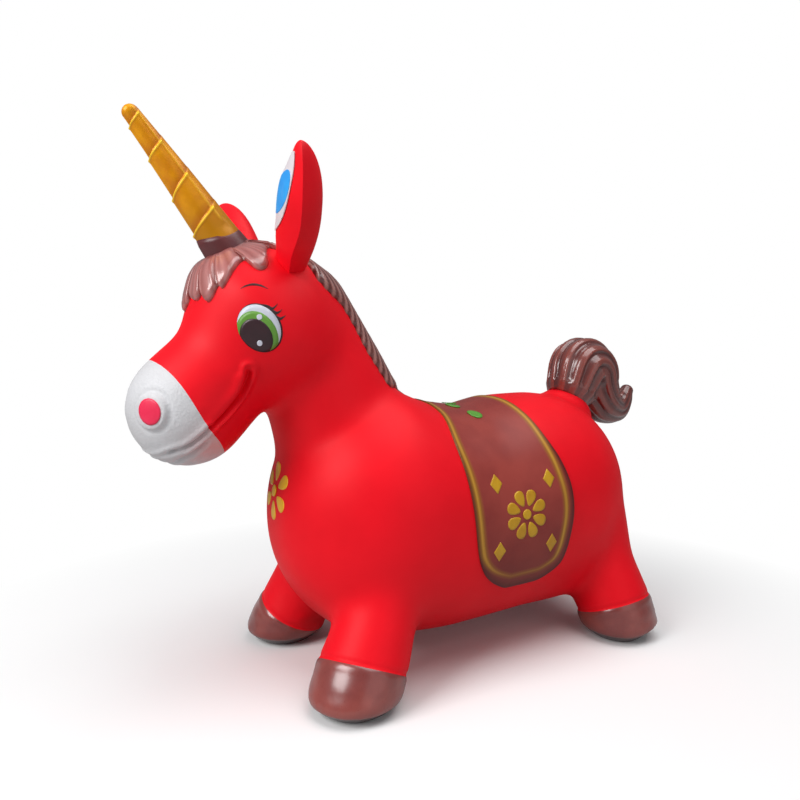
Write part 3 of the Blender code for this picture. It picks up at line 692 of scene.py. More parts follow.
hooves = []
for name, (point, normal) in hoof_lines.items():
    cut_faces(skin, on_leg(face_centres(skin), point), point, normal)
    spots = face_centres(skin)
    under = on_leg(spots, point) & (above(spots, point, normal) < 0.0)
    hooves.append(split_off(skin, under, name + "_hoof_paint"))
print("faces: skin", len(skin.data.polygons), "hooves", [len(hoof.data.polygons) for hoof in hooves])

# %% [markdown]
# ## Ears
# An ear is a fat leaf with a sharp ridge down its outer edge. It is easier to shape upright than leaning, so it has a
# space of its own, with the ridge along +Y and the tip along +Z. These functions say how large and how thick it is
# along its length, and how it is leaned out and turned to its place on the head.

# %% The ear's own space
EAR_ROOT = Vector((0.186, 0.052, 0.418))
EAR_TIP = Vector((0.202, 0.123, 0.507))
EAR_LENGTH = (EAR_TIP - EAR_ROOT).length
EAR_HALF_WIDTH = 0.0265
EAR_HALF_DEPTH = 0.0205
EAR_BACK = 1.22
EAR_WIDEST = 0.45
EAR_TWIST = math.radians(18.0)
EAR_STACK, EAR_SLICES = 46, 72
SLICE_PEAK = 1.0887


def ear_share(run):
    """Size of the ear's slice along its length, as a share of the largest."""
    if run < EAR_WIDEST:
        return 0.58 + 0.42 * math.sin(0.5 * math.pi * max(run, -0.2) / EAR_WIDEST)
    return max(1.0 - ((run - EAR_WIDEST) / 0.55) ** 2.1, 0.0) ** 0.62


def ear_front(run):
    """The front face is flatter than the back, most of all at the tip."""
    return 0.60 + 0.16 * (1.0 - run)


def ear_twist(spot):
    """The leaf is twisted forwards towards its root."""
    twist = EAR_TWIST * float(1.0 - ease(spot[2] / EAR_LENGTH, 0.0, 0.5))
    return Matrix.Rotation(-twist, 3, "Z") @ Vector(spot)


def ear_frame(turn, shift):
    """Turns the ear's own space, with the ridge along +Y and the tip along +Z, to its place on the head."""
    axis = (EAR_TIP - EAR_ROOT).normalized()
    fore = (Vector((1.0, 0.0, 0.0)) - axis * axis.x).normalized()
    out = fore.cross(axis) * -1.0
    ridge = out * math.cos(turn) + fore * math.sin(turn)
    place = Matrix((ridge.cross(axis), ridge, axis)).transposed().to_4x4()
    place.translation = EAR_ROOT + Vector(shift)
    return place


def slice_half(across):
    """Half thickness of the slice: round at the inner edge, -1, and sharp at the ridge, 1."""
    return math.sqrt(1.0 + across) * (1.0 - across) / SLICE_PEAK


print("ear length in mm:", round(1000.0 * EAR_LENGTH))

# %% [markdown]
# ## Two ears
# A round slice is extruded up in a straight stack, wide in the middle and rounded at the tip. Every slice is then made
# into a lens, and the whole leaf is put in its place. The right ear is turned out further than the left one, so it is
# made on the left side too and mirrored, and not a plain copy.

# %% Extrude the ears
ear_rings = []
for i in range(EAR_STACK):
    run = -0.22 + 1.2195 * math.sin(0.5 * math.pi * i / (EAR_STACK - 1))
    size = ear_share(run)
    ear_rings.append((Vector((0.0, 0.0, EAR_LENGTH * run)), 0.0, EAR_HALF_WIDTH * size, EAR_HALF_DEPTH * size))


def ear_leaf(name, turn, shift):
    """A leaf with a sharp ridge, turned about its own length."""
    obj = tube(name, ear_rings, slices=EAR_SLICES)
    spots = coords(obj)
    for i, spot in enumerate(spots):
        run = spot[2] / EAR_LENGTH
        size = ear_share(run)
        across = max(-1.0, min(1.0, spot[1] / max(EAR_HALF_WIDTH * size, 1e-6)))
        flare, swell = EAR_BACK, 0.0
        if spot[0] > 0.0:
            flare = ear_front(run) + 0.6 * max(0.0, 1.0 - max(spot[2], 0.0) / 0.030) ** 2
            swell = 0.0034 * float(bell(run - 0.20, 0.12)) - 0.0024 * float(bell(run - 0.82, 0.12))
        spots[i, 0] = math.copysign((EAR_HALF_DEPTH * size * flare + swell) * slice_half(across), spot[0])
        if spot[1] < 0.0:
            broad, slim = float(1.0 - ease(run, 0.05, 0.45)), float(ease(run, 0.55, 0.90))
            spots[i, 1] *= 1.0 + 0.42 * broad - 0.14 * slim
    place = ear_frame(turn, shift)
    set_coords(obj, [place @ ear_twist(spot) for spot in spots])
    return obj


OTHER_SIDE = np.array((1.0, -1.0, 1.0))


def mirror_copy(obj, name):
    """A copy with its own mesh on the other side of the horse."""
    take(obj)
    bpy.ops.object.duplicate()
    copy = bpy.context.object
    copy.name = name
    set_coords(copy, coords(copy) * OTHER_SIDE)
    with all_of(copy):
        bpy.ops.mesh.flip_normals()
    return copy


LEFT_EAR = (math.radians(6.0), (-0.0015, 0.0010, 0.0))
RIGHT_EAR = (math.radians(-48.0), (0.0045, 0.0025, -0.0020))
left_ear = ear_leaf("left_ear_skin", *LEFT_EAR)
turned_ear = ear_leaf("turned_ear", *RIGHT_EAR)
right_ear = mirror_copy(turned_ear, "right_ear_skin")
print("points in an ear:", len(left_ear.data.vertices))

# %% [markdown]
# ## Horn
# The horn looks like paper rolled into a cone: one band winds up it, flares to a lip, and the next turn comes
# out from inside. The lips and a streak down each corner carry a painted highlight in a paler gold. A spun screw would
# give a band of one height all round, but this one fades on one side. So a plain cone is extruded in many thin rings,
# and every point is then pushed in or out by where it sits on the band.

# %% Extrude and wind the horn
HORN_BASE = middle(0.2375, 0.443)
HORN_LEAN = math.radians(36.3)
HORN_LENGTH = 0.139
HORN_PITCH = 0.036
HORN_STACK, HORN_SLICES = 210, 96
HORN_FOOT, HORN_TIP = 0.0203, 0.0078
HORN_ROOT = 0.010
HORN_BOW = 0.0006
HORN_CORNER = math.radians(112.0)
HORN_BACK = math.radians(223.0)


def horn_radius(run):
    """A straight cone with a ball for its tip."""
    straight = HORN_LENGTH - HORN_TIP
    if run > straight:
        return HORN_TIP * math.sqrt(max(1.0 - ((run - straight) / HORN_TIP) ** 2, 0.0))
    return HORN_FOOT + (HORN_TIP - HORN_FOOT) * run / straight


horn_rings = []
for i in range(HORN_STACK):
    run = -HORN_ROOT + (HORN_LENGTH + 0.0099) * i / (HORN_STACK - 1)
    radius = max(horn_radius(run), 0.0004)
    horn_rings.append((middle(0.0, run), 0.0, radius, radius))
horn = tube("horn_roll", horn_rings, slices=HORN_SLICES)

spots = coords(horn)
turn, along = np.arctan2(spots[:, 1], spots[:, 0]), spots[:, 2].copy()
wound = along / HORN_PITCH + 0.202 * (np.maximum(along - 0.0222, 0.0) / 0.1007) ** 4.9
flat = 0.42 * ease(along, 0.050, 0.100) * (np.sin(turn - HORN_BACK) - math.sin(HORN_CORNER - HORN_BACK))
climb = (wound - (turn + flat) / FULL_TURN + 0.50) % 1.0
behind = (turn - HORN_CORNER) % FULL_TURN
show = 1.0 - 0.85 * ease(behind, 0.02, 0.20) * (1.0 - ease(behind, 0.9, 2.2))
lip = bell(climb - 0.955, 0.030) * show * ease(along, 0.006, 0.016)
# The corner is a low ridge in the mesh, and also a painted highlight streak through the lip mask.
corner = np.abs(np.cos(1.5 * (turn - HORN_CORNER))) ** 60 * ease(along, 0.006, 0.020)
tuck = -0.0018 * (1.0 - climb) - 0.0008 * ease(climb, 0.98, 1.0)
push = show * tuck * ease(along, 0.0, 0.012) + 0.0007 * lip + 0.0010 * corner
push *= ease(HORN_LENGTH - along, 0.0, 0.012)
out = np.stack([np.cos(turn), np.sin(turn), np.zeros(len(turn))], axis=1)
spots += out * push[:, None]
bow = np.clip(along / HORN_LENGTH, 0.0, 1.0)
foot = 1.0 - ease(bow, 0.02, 0.42)
spots[:, 0] -= HORN_BOW * 4.0 * bow * (1.0 - bow)
lean = Matrix.Rotation(HORN_LEAN, 3, "Y")
set_coords(horn, spots @ np.array(lean).T + np.array(HORN_BASE))


def paint_mask(obj, name, values):
    """Stores one number for each point, which the material reads as a mask."""
    layer = obj.data.attributes.new(name, "FLOAT", "POINT")
    layer.data.foreach_set("value", np.asarray(values, dtype=np.float32))


# Painted highlight: the lip mask lightens the gold along each lip and along the corner streaks.
paint_mask(horn, "lip", np.clip(lip + 0.45 * corner, 0.0, 1.0))
# Low climb marks the start of each band, just above the lip below it, which the paint darkens as painted shade.
paint_mask(horn, "climb", climb)
paint_mask(horn, "foot", foot)
print("turns of the band:", round(HORN_LENGTH / HORN_PITCH, 1))

# %% [markdown]
# ## Forelock
# The hair is low relief on the same skin. The forelock is a cap that starts at the foot of the horn and ends in pointed
# locks. Its hairline is drawn through the camera on one side and mirrored to the other. Hair particles would be far too
# fine for moulded locks, so a grid is laid between the horn and the hairline, lifted off the skin with a round edge,
# and soft grooves part the locks. The Solidify modifier gives it a thickness that sinks into the skin.

# %% Lay the forelock
HAIR_RISE = 0.0054
HAIR_THICK = 0.002
HAIR_SUNK = 0.0008
HAIR_ROOT = 0.014
LOCK_WIDTH = 0.0105
MERGE_GAP = 0.00001
CAP_LONG, CAP_HALF = 30, 170
HORN_AXIS = lean @ Vector((0.0, 0.0, 1.0))
smooth_skin = surface_of(skin)


def snap(surface, spot):
    """The nearest place on a surface, and the normal there."""
    place, normal, _, _ = surface.find_nearest(Vector(spot))
    return place, normal


def round_edge(gap, width):
    """Rises like a quarter circle over a width from an edge."""
    return math.sqrt(1.0 - (1.0 - min(max(gap / width, 0.0), 1.0)) ** 2)


def grid(name, long, wide):
    """A flat grid from -1 to 1, which is laid on a surface point by point."""
    bpy.ops.object.select_all(action="DESELECT")
    bpy.ops.mesh.primitive_grid_add(x_subdivisions=long, y_subdivisions=wide, size=2.0)
    bpy.context.object.name = name
    return bpy.context.object


def thicken(obj, thickness):
    """Merges the points that were laid on one spot, and gives a wall that sinks into the skin."""
    with all_of(obj):
        bpy.ops.mesh.remove_doubles(threshold=MERGE_GAP)
    apply_modifier(obj, "SOLIDIFY", thickness=thickness, offset=-1.0)


hairline = [middle(0.2710, 0.3725)]
hairline += [seen(smooth_skin, *spot) for spot in (
    (189.5, 303.0), (191.6, 296.0), (193.6, 300.6), (197.6, 301.4), (201.0, 297.5), (203.0, 291.5), (205.4, 299.5),
    (209.0, 303.0), (213.6, 297.5), (219.0, 287.0), (223.4, 289.0), (230.0, 278.4), (238.4, 265.6), (244.5, 261.0),
    (249.0, 264.0), (254.5, 268.5), (261.0, 271.0), (267.0, 268.6), (268.8, 262.0), (267.5, 253.5), (270.0, 248.5))]
hairline += [Vector(spot) for spot in ((0.188, 0.030, 0.435), (0.165, 0.026, 0.432), (0.150, 0.014, 0.428),
                                       (0.146, 0.0, 0.427))]
notches = np.array([hairline[i] for i in (2, 6, 10, 14, 21)])
half_edge = smooth_path(hairline, CAP_HALF)
half_arc = lengths(half_edge)
notch_arcs = half_arc[[np.linalg.norm(half_edge - notch, axis=1).argmin() for notch in notches]]
edge = np.concatenate([half_edge, half_edge[-2:0:-1] * OTHER_SIDE])
arcs = np.concatenate([half_arc, half_arc[-2:0:-1]])

forelock = grid("forelock_hair", CAP_LONG, len(edge))
spots, strand = coords(forelock), []
for i, (u, v, _) in enumerate(spots):
    run, index = 0.5 * (u + 1.0), int(round(0.5 * (v + 1.0) * len(edge))) % len(edge)
    tip = Vector(edge[index])
    away = (tip - HORN_BASE) - HORN_AXIS * (tip - HORN_BASE).dot(HORN_AXIS)
    root = HORN_BASE + away.normalized() * HAIR_ROOT
    place, normal = snap(smooth_skin, root.lerp(tip, run))
    part = np.abs(notch_arcs - arcs[index]).min() * (0.45 + 0.55 * run)
    groove = float(bell(part, 0.0026) * ease(run, 0.30, 0.80))
    fine = abs(math.sin(math.pi * arcs[index] / LOCK_WIDTH + 0.9 * math.sin(150.0 * arcs[index])))
    fine *= float(ease(run, 0.25, 0.6))
    rise = HAIR_RISE * round_edge((1.0 - run) * (tip - root).length, 0.0075)
    rise *= 0.4 + 0.6 * float(ease(run, 0.0, 0.4))
    ridge = 0.0004 * fine * (rise / HAIR_RISE)
    spots[i] = place + normal * (rise * (1.0 - 0.55 * groove) + ridge - HAIR_SUNK)
    strand.append(max(0.0, (0.55 + 0.45 * fine) * (1.0 - groove)))
set_coords(forelock, spots)
paint_mask(forelock, "strand", strand)
thicken(forelock, HAIR_THICK)
print("locks in the forelock:", 2 * len(notches) - 1)

# %% [markdown]
# ## Collar
# Below the gold the foot of the horn is painted as dark as the hair. This collar goes on in the horn's direction, and
# its upper edge dips at both sides, where the spray mask lay on the head. As a piece of its own it stays with the head
# when the horn bends.

# %% Extrude the collar
COLLAR_STACK, COLLAR_STEP = 9, 0.004
COLLAR_RADIUS = 0.0207
COLLAR_TOP, COLLAR_DIP, COLLAR_BOTTOM = 0.0066, 0.0035, -0.030
COLLAR_LEAN = math.radians(24.0)
edge_normal = Vector((math.sin(COLLAR_LEAN), 0.0, math.cos(COLLAR_LEAN)))
across_horn = lean @ Vector((1.0, 0.0, 0.0))
collar_rings = [(middle(0.0, COLLAR_STEP * i), 0.0, 1.0, 1.0) for i in range(COLLAR_STACK)]
collar = tube("horn_collar", collar_rings, slices=72)
spots = coords(collar)
for i, (x, y, z) in enumerate(spots):
    level = z / (COLLAR_STEP * (COLLAR_STACK - 1))
    out = across_horn * x + Vector((0.0, y, 0.0))
    start = HORN_BASE + out * COLLAR_RADIUS
    top = COLLAR_TOP - COLLAR_DIP * y * y - (start - HORN_BASE).dot(edge_normal)
    top /= HORN_AXIS.dot(edge_normal)
    up = HORN_AXIS * (COLLAR_BOTTOM + (top - COLLAR_BOTTOM) * level)
    bead = 0.0007 * math.sin(math.pi * min(level / 0.9, 1.0)) - (0.0012 if level > 0.99 else 0.0)
    spots[i] = start + up + out * (bead + 0.004 * (1.0 - level) ** 2)
set_coords(collar, spots)
print("points in the collar:", len(spots))

# %% [markdown]
# ## Mane
# The mane is a low strip down the crest of the neck that ends in a point at the withers. Its edge is drawn through the
# camera like the hairline. Grooves start on the crest and sweep down and outwards. It is laid as a grid like the
# forelock, because its edge and its grooves both follow the crest.

# %% Lay the mane
MANE_RISE, MANE_STRANDS, MANE_SWEEP = 0.0066, 19.0, 4.2
MANE_LONG, MANE_WIDE = 140, 40
MANE_POINT = 0.30
crest = smooth_path([(0.166, 0.0, 0.434), (0.132, 0.0, 0.414), (0.106, 0.0, 0.372), (0.086, 0.0, 0.332),
                     (0.066, 0.0, 0.302), (0.040, 0.0, 0.290), (0.026, 0.0, 0.284)], MANE_LONG + 1)


def inward(across, down):
    """The skin under a picture point, or the nearest to its left where there is any."""
    while look(smooth_skin, across, down) is None:
        across -= 0.5
    return look(smooth_skin, across - 1.0, down)


mane_edge = smooth_path([inward(*spot) for spot in (
    (309.0, 266.0), (317.0, 278.0), (326.0, 288.5), (335.0, 298.0), (342.0, 305.0), (354.0, 325.0), (368.0, 352.0),
    (384.0, 377.5), (395.0, 389.5))] + [crest[-1]], MANE_LONG + 1)
mane_edge[:, 1] *= np.minimum(1.0, np.linspace(1.0, 0.0, MANE_LONG + 1) / MANE_POINT)

mane = grid("mane_hair", MANE_LONG, MANE_WIDE)
spots, strand = coords(mane), []
for i, (u, v, _) in enumerate(spots):
    index = int(round(0.5 * MANE_LONG * (u + 1.0)))
    share, reach = index / MANE_LONG, abs(v)
    middle_spot = snap(smooth_skin, crest[index])[0]
    rim = Vector(mane_edge[index]) * Vector((1.0, -math.copysign(1.0, v), 1.0))
    wave = abs(math.sin(math.pi * (MANE_STRANDS * share - MANE_SWEEP * reach)))
    wide = (rim - middle_spot).length
    place, normal = snap(smooth_skin, middle_spot.lerp(rim, reach * (1.0 + 0.05 * (wave - 0.6))))
    rise = MANE_RISE * float(1.0 - 0.30 * ease(share, 0.70, 1.0)) * round_edge((1.0 - reach) * wide, 0.012)
    rise *= round_edge(share * 0.2, 0.01) * round_edge((1.0 - share) * 0.2, 0.012)
    spots[i] = place + normal * (rise * (0.80 + 0.20 * wave ** 0.7) - HAIR_SUNK)
    strand.append(wave)
set_coords(mane, spots)
paint_mask(mane, "strand", strand)
thicken(mane, HAIR_THICK)
print("strands on each side of the mane:", int(MANE_STRANDS))

# %% [markdown]
# ## Tail
# The tail is a plump comma: it rises from the red stub, falls over backwards and ends in an upward flick. Deep strand
# grooves follow it from root to tip. A tube is extruded along the comma, its sides are pushed in along the strands,
# and a fine remesh closes the tight inner side of the bend.

# %% Extrude the tail
plume_spine = ((0.004, 0.006), (-0.012, 0.035), (-0.029, 0.031), (-0.038, 0.008), (-0.054, -0.011),
               (-0.076, -0.019), (-0.092, -0.008), (-0.101, 0.004))
plume_radii = (0.034, 0.0415, 0.0385, 0.0345, 0.0295, 0.0210, 0.0150, 0.0090)
PLUME_STACK, PLUME_SLICES = 90, 96
PLUME_VOXEL = 0.0013
STRANDS, STRAND_DEPTH = 13.0, 0.16
spine = smooth_path([TAIL_BASE + middle(*spot) for spot in plume_spine], PLUME_STACK)
run = np.linspace(0.0, 1.0, PLUME_STACK)
knots = lengths(np.array(plume_spine))
radii = np.interp(run, knots / knots[-1], plume_radii)
slopes = np.gradient(spine, axis=0)
plume_rings = [(Vector(spine[0]) - TAIL_AXIS * 0.014, TAIL_LEAN, 0.026, 0.026)]
leans = np.unwrap([math.atan2(s[0], s[2]) for s in slopes])
for place, lean_now, radius in zip(spine, leans, radii):
    plume_rings.append((Vector(place), lean_now, radius, radius))
plume_rings += dome(plume_rings[-1], 0.008)
plume = tube("tail_hair", plume_rings, slices=PLUME_SLICES)


def strand_wave(share, turn):
    """Broad strands that overlap like tiles, each with a few finer hairs."""
    phase = (STRANDS * turn / FULL_TURN + 0.8 * share + 0.10 * math.sin(3.0 * turn)) % 1.0
    main = math.sin(0.5 * math.pi * min(phase / 0.80, (1.0 - phase) / 0.20))
    fine = abs(math.sin(19.0 * turn + 3.0 * share))
    return 0.84 * main + 0.16 * fine


def strand_at(spot, index):
    """The strands' height at a spot beside one point of the spine, and how far along that is."""
    slope = slopes[index] / np.linalg.norm(slopes[index])
    over = np.cross(slope, (0.0, 1.0, 0.0))
    gap = spot - spine[index]
    share = index / (PLUME_STACK - 1.0)
    return strand_wave(share, math.atan2(gap @ over, gap[1])), share


spots = coords(plume)
for k in range(PLUME_SLICES, PLUME_SLICES * (PLUME_STACK + 1)):
    index = k // PLUME_SLICES - 1
    wave, share = strand_at(spots[k], index)
    sink = STRAND_DEPTH * (1.0 - wave) * ease(share + 0.04, 0.0, 0.09) * (1.0 - 0.4 * share)
    spots[k] -= (spots[k] - spine[index]) * sink
set_coords(plume, spots)
apply_modifier(plume, "REMESH", mode="VOXEL", voxel_size=PLUME_VOXEL)
apply_modifier(plume, "SMOOTH", factor=0.5, iterations=3)
paint_mask(plume, "strand", [
    strand_at(spot, int(np.linalg.norm(spine - spot, axis=1).argmin()))[0] for spot in coords(plume)])
print("faces in the tail:", len(plume.data.polygons))

# %% [markdown]
# ## Saddle cloth
# The cloth is a patch of the skin that stands a millimetre and a half proud, with a waist over the back and round lower
# corners. A grid is wrapped over the back: each point is found by a ray towards the middle of the body. A flat grid
# dropped straight down by the Shrinkwrap modifier would stretch on the steep sides. The gold line inside the border is
# a mask that the paint reads.

# %% Wrap the saddle
SADDLE_LONG, SADDLE_ROUND = 70, 190
SADDLE_PROUD, SADDLE_THICK = 0.0016, 0.0030
BODY_MIDDLE, OUTSIDE = 0.165, 0.3
HAZE_WIDTH, LINE_WIDTH = 0.0044, 0.0019
LOW_INSET = 0.0175


def back_point(x, turn):
    """Skin point at a turn from straight up, seen from the middle of the body."""
    ray = Vector((0.0, math.sin(turn), math.cos(turn)))
    return smooth_skin.ray_cast(middle(x, BODY_MIDDLE) + ray * OUTSIDE, -ray)[0]


def turn_from_top(spot):
    return math.atan2(spot.y, spot.z - BODY_MIDDLE)


def edge_over_turn(picture_spots):
    """Where the cloth's edge runs: its x against the square root of what is left of the way to the hem."""
    spots = [seen(smooth_skin, *spot) for spot in picture_spots]
    left = [max(0.0, 1.0 - turn_from_top(spot) / HEM_TURN) ** 0.5 for spot in spots]
    xs = [spot.x for spot in spots]
    slope = (xs[0] - xs[1]) / (left[0] - left[1])
    pairs = [(1.0, xs[0] + 0.3 * slope * (1.0 - left[0]))] + list(zip(left, xs))
    curve = smooth_path([(q, x, 0.0) for q, x in pairs], 200)[::-1]
    return curve[:, 0], curve[:, 1]


HEM = (506.0, 586.6)
HEM_TURN = turn_from_top(seen(smooth_skin, *HEM))
front_edge = edge_over_turn(((432.6, 407.4), (440.4, 414.3), (451.6, 440.2), (463.7, 472.9), (472.3, 512.4),
                             (476.6, 553.8), (482.6, 574.4), (490.0, 582.2), (497.5, 585.6), HEM))
rear_edge = edge_over_turn(((520.5, 409.2), (537.7, 426.4), (548.0, 440.2), (560.1, 457.4), (572.1, 484.9),
                            (574.7, 510.7), (570.4, 536.5), (567.0, 548.6), (560.1, 562.4), (546.3, 573.5),
                            (530.8, 581.3), (518.8, 585.0), HEM))

saddle = grid("saddle_cloth", SADDLE_LONG, SADDLE_ROUND)
spots = coords(saddle)
for i, (u, v, _) in enumerate(spots):
    turn = HEM_TURN * math.sin(0.5 * math.pi * v)
    left = math.sqrt(max(1.0 - abs(turn) / HEM_TURN, 0.0))
    rear, front = np.interp(left, *rear_edge), np.interp(left, *front_edge)
    spots[i] = back_point(0.5 * (rear + front) + 0.5 * (front - rear) * u, turn)
set_coords(saddle, spots)
with all_of(saddle):
    bpy.ops.mesh.vertices_smooth(factor=0.5, repeat=14)
spots = coords(saddle)
for i, spot in enumerate(spots):
    place, normal = snap(smooth_skin, spot)
    spots[i] = place + normal * SADDLE_PROUD
set_coords(saddle, spots)

row = SADDLE_LONG + 1
border = spots[[v for v in range(len(spots))
                if v < row or v >= len(spots) - row or v % row in (0, SADDLE_LONG)]]
inset = np.concatenate([np.linalg.norm(block[:, None, :] - border[None, :, :], axis=2).min(axis=1)
                        for block in np.array_split(spots, 40)])
low = ease(0.135 - spots[:, 2], 0.0, 0.045)
forward = ease(spots[:, 0], -0.07, 0.0)
high = ease(spots[:, 2], 0.19, 0.27)
front_inset, rear_inset = 0.0056 - 0.0022 * high, 0.0120 - 0.0076 * high
line_inset = (1.0 - low) * (front_inset * forward + rear_inset * (1.0 - forward)) + low * LOW_INSET
paint_mask(saddle, "gold_haze", bell(inset - line_inset, HAZE_WIDTH) * (1.0 - 0.60 * low))
paint_mask(saddle, "gold_line", bell(inset - line_inset, LINE_WIDTH) * (1.0 - 0.85 * low))
paint_mask(saddle, "inset", inset)
# Painted shade: the low mask darkens the cloth towards its bottom, where less light falls.
paint_mask(saddle, "low", ease(0.19 - spots[:, 2], 0.0, 0.12))
thicken(saddle, SADDLE_THICK)
print("hem at", round(math.degrees(HEM_TURN)), "degrees from the top")

# %% [markdown]
# ## Painted patches
# Eyes, nostrils, ear prints and motifs are pad-printed films of paint. A flat disc is subdivided, shaped to the
# outline of the print and laid on the surface under it, a fraction of a millimetre proud, and Solidify closes it. A
# picture could be mapped on the skin instead, but a film of its own keeps a sharp edge however close the view.

# %% A patch of paint
PATCH_CUTS = 5
PAINT_FILM = 0.0005
STROKE_STEPS, STROKE_ROWS = 24, 4
THINNEST = 0.15
BOTH_SIDES, LEFT_ONLY = (1.0, -1.0), (1.0,)


def film(obj, surface, spots, lift, side):
    """Lays points on a surface, on either side of the horse, and gives the film its thickness."""
    laid = []
    for spot in spots:
        place, normal = snap(surface, Vector(spot) * Vector((1.0, side, 1.0)))
        laid.append(place + normal * lift)
    set_coords(obj, laid)
    if side < 0.0:
        with all_of(obj):
            bpy.ops.mesh.flip_normals()
    apply_modifier(obj, "SOLIDIFY", thickness=PAINT_FILM + lift, offset=-1.0)
    return obj


def patch(name, surface, outline, place_of, lift, sides=BOTH_SIDES, cuts=PATCH_CUTS):
    """A filled outline, given as (across, down) points around its middle, on one or both sides."""
    outline = np.array(outline)
    centre, count = outline.mean(axis=0), len(outline)
    films = []
    for side in sides:
        bpy.ops.object.select_all(action="DESELECT")
        bpy.ops.mesh.primitive_circle_add(vertices=count, radius=1.0, fill_type="TRIFAN")
        obj = bpy.context.object
        obj.name = name
        with all_of(obj):
            bpy.ops.mesh.subdivide(number_cuts=cuts)
        spots = []
        for x, y, _ in coords(obj):
            step = (math.atan2(-x, y) / FULL_TURN * count) % count
            first, part = int(step) % count, step - int(step)
            turn = (part - 0.5) * FULL_TURN / count
            reach = math.hypot(x, y) * math.cos(turn) / math.cos(math.pi / count)
            rim = outline[first] * (1.0 - part) + outline[(first + 1) % count] * part
            spots.append(place_of(*(centre + (rim - centre) * min(reach, 1.0))))
        films.append(film(obj, surface, spots, lift, side))
    return films


def stroke(name, surface, path, widths, place_of, lift):
    """A brush stroke along a line of (across, down) points on both sides, with a width at each."""
    line = smooth_path([(x, y, 0.0) for x, y in path], STROKE_STEPS + 1)
    slopes = np.gradient(line, axis=0)
    wide = np.interp(np.linspace(0.0, 1.0, STROKE_STEPS + 1), np.linspace(0.0, 1.0, len(widths)), widths)
    films = []
    for side in BOTH_SIDES:
        obj = grid(name, STROKE_STEPS, STROKE_ROWS)
        spots = []
        for u, v, _ in coords(obj):
            i = int(round(0.5 * STROKE_STEPS * (u + 1.0)))
            across = np.array((-slopes[i][1], slopes[i][0])) / np.linalg.norm(slopes[i])
            spots.append(place_of(*(line[i][:2] - across * v * 0.5 * max(wide[i], THINNEST))))
        films.append(film(obj, surface, spots, lift, side))
    return films


def oval(centre, half_across, half_down, skew=0.0, count=48):
    """Outline of a leaning oval."""
    turns = [FULL_TURN * i / count for i in range(count)]
    return [(centre[0] + half_across * math.cos(t), centre[1] - half_down * math.sin(t - skew)) for t in turns]


def inside(outline, limit):
    """Clips a round outline to a second one that it crosses."""
    outline, limit = np.array(outline), np.array(limit)
    centre = (outline.mean(axis=0) + limit.mean(axis=0)) * 0.5

    def reach(points, turns):
        gaps = points - centre
        angles = np.arctan2(gaps[:, 1], gaps[:, 0])
        order = angles.argsort()
        return np.interp(turns, angles[order], np.hypot(*gaps.T)[order], period=FULL_TURN)

    turns = -FULL_TURN * np.arange(64) / 64.0
    wide = np.minimum(reach(outline, turns), reach(limit, turns))
    return np.stack([centre[0] + wide * np.cos(turns), centre[1] + wide * np.sin(turns)], axis=1)


print("thickness of a print in mm:", 1000.0 * PAINT_FILM)

# %% [markdown]
# ## Eyes
# An eye is built up in coats, as the printer does it: a dark outline, the white, a green iris and a brown pupil that
# run out at the lower lid, two glints, three lashes and a thin brow. Each coat lies a little higher than the one
# before, so that no two faces fall together and flicker.

# %% Print the eyes
def on_head(across, down):
    return seen(smooth_skin, across, down)


COAT = 0.00015
THIN_LINE = 0.00020
EYE_TILT = math.radians(11.3)
eye_outline = oval((259.1, 328.0), 21.9, 23.6, EYE_TILT, 64)
eye_edge = oval((259.9, 327.8), 22.9, 24.5, EYE_TILT, 64)
iris_outline = inside(oval((257.3, 336.0), 21.4, 25.0, EYE_TILT, 64), eye_outline)
pupil_outline = inside(oval((256.4, 337.0), 16.6, 18.4, EYE_TILT, 64), eye_outline)
eye_lines, eye_whites, irises, pupils = (
    patch(name, smooth_skin, outline, on_head, COAT * coat)
    for coat, name, outline in ((1, "eye_line", eye_edge), (2, "eye_white", eye_outline), (3, "iris", iris_outline),
                                (4, "pupil", pupil_outline)))
glints = []
for centre in ((259.6, 317.0), (259.8, 343.1)):
    glints += patch("glint", smooth_skin, oval(centre, 2.8, 2.9, 0.0, 24), on_head, COAT * 5, cuts=3)
lashes = []
for spots in (((257.5, 304.2), (265.5, 306.0), (271.8, 308.6), (275.2, 306.6), (277.8, 303.6)),
              ((266.5, 307.2), (272.5, 311.2), (276.4, 313.0), (279.6, 311.6), (282.2, 309.2)),
              ((272.0, 312.0), (276.6, 317.2), (279.6, 318.8), (282.8, 317.4), (285.8, 315.2))):
    lashes += stroke("lash", smooth_skin, spots, (0.4, 2.4, 3.6, 2.0, 0.2), on_head, THIN_LINE)
brow = ((240.0, 288.9), (246.0, 285.8), (253.5, 284.4), (261.0, 285.7), (267.9, 288.8))
lashes += stroke("brow", smooth_skin, brow, (0.2, 1.5, 2.3, 1.7, 0.3), on_head, THIN_LINE)
print("lashes and brows:", len(lashes))

# %% [markdown]
# ## Nostrils and ear prints
# Each nostril is a red disc on its rim. Each ear has a white leaf with a blue oval on its front face. The ears' prints
# are drawn in the ear's own space, across it and along it, because most of them turn away from the camera.

# %% Print nostrils and ears
muzzle_surface = surface_of(muzzle)
NOSTRIL_FILM, EAR_WHITE_FILM, EAR_BLUE_FILM = 0.00060, 0.0003, 0.0005


def on_muzzle(across, down):
    return seen(muzzle_surface, across, down)


nostrils = patch("nostril", muzzle_surface, oval((149.9, 411.8), 10.8, 13.4, 0.12), on_muzzle, NOSTRIL_FILM)


def on_ear(turn, shift, skew):
    """A place function for the ear's front face: across the leaf and along it."""
    def place_of(across, run):
        across, size = max(-0.98, across + skew * (run - 0.60)), ear_share(run)
        front = ear_front(run) * EAR_HALF_DEPTH * size * slice_half(across)
        spot = Vector((front, EAR_HALF_WIDTH * size * across, EAR_LENGTH * run))
        return ear_frame(turn, shift) @ ear_twist(spot)
    return place_of


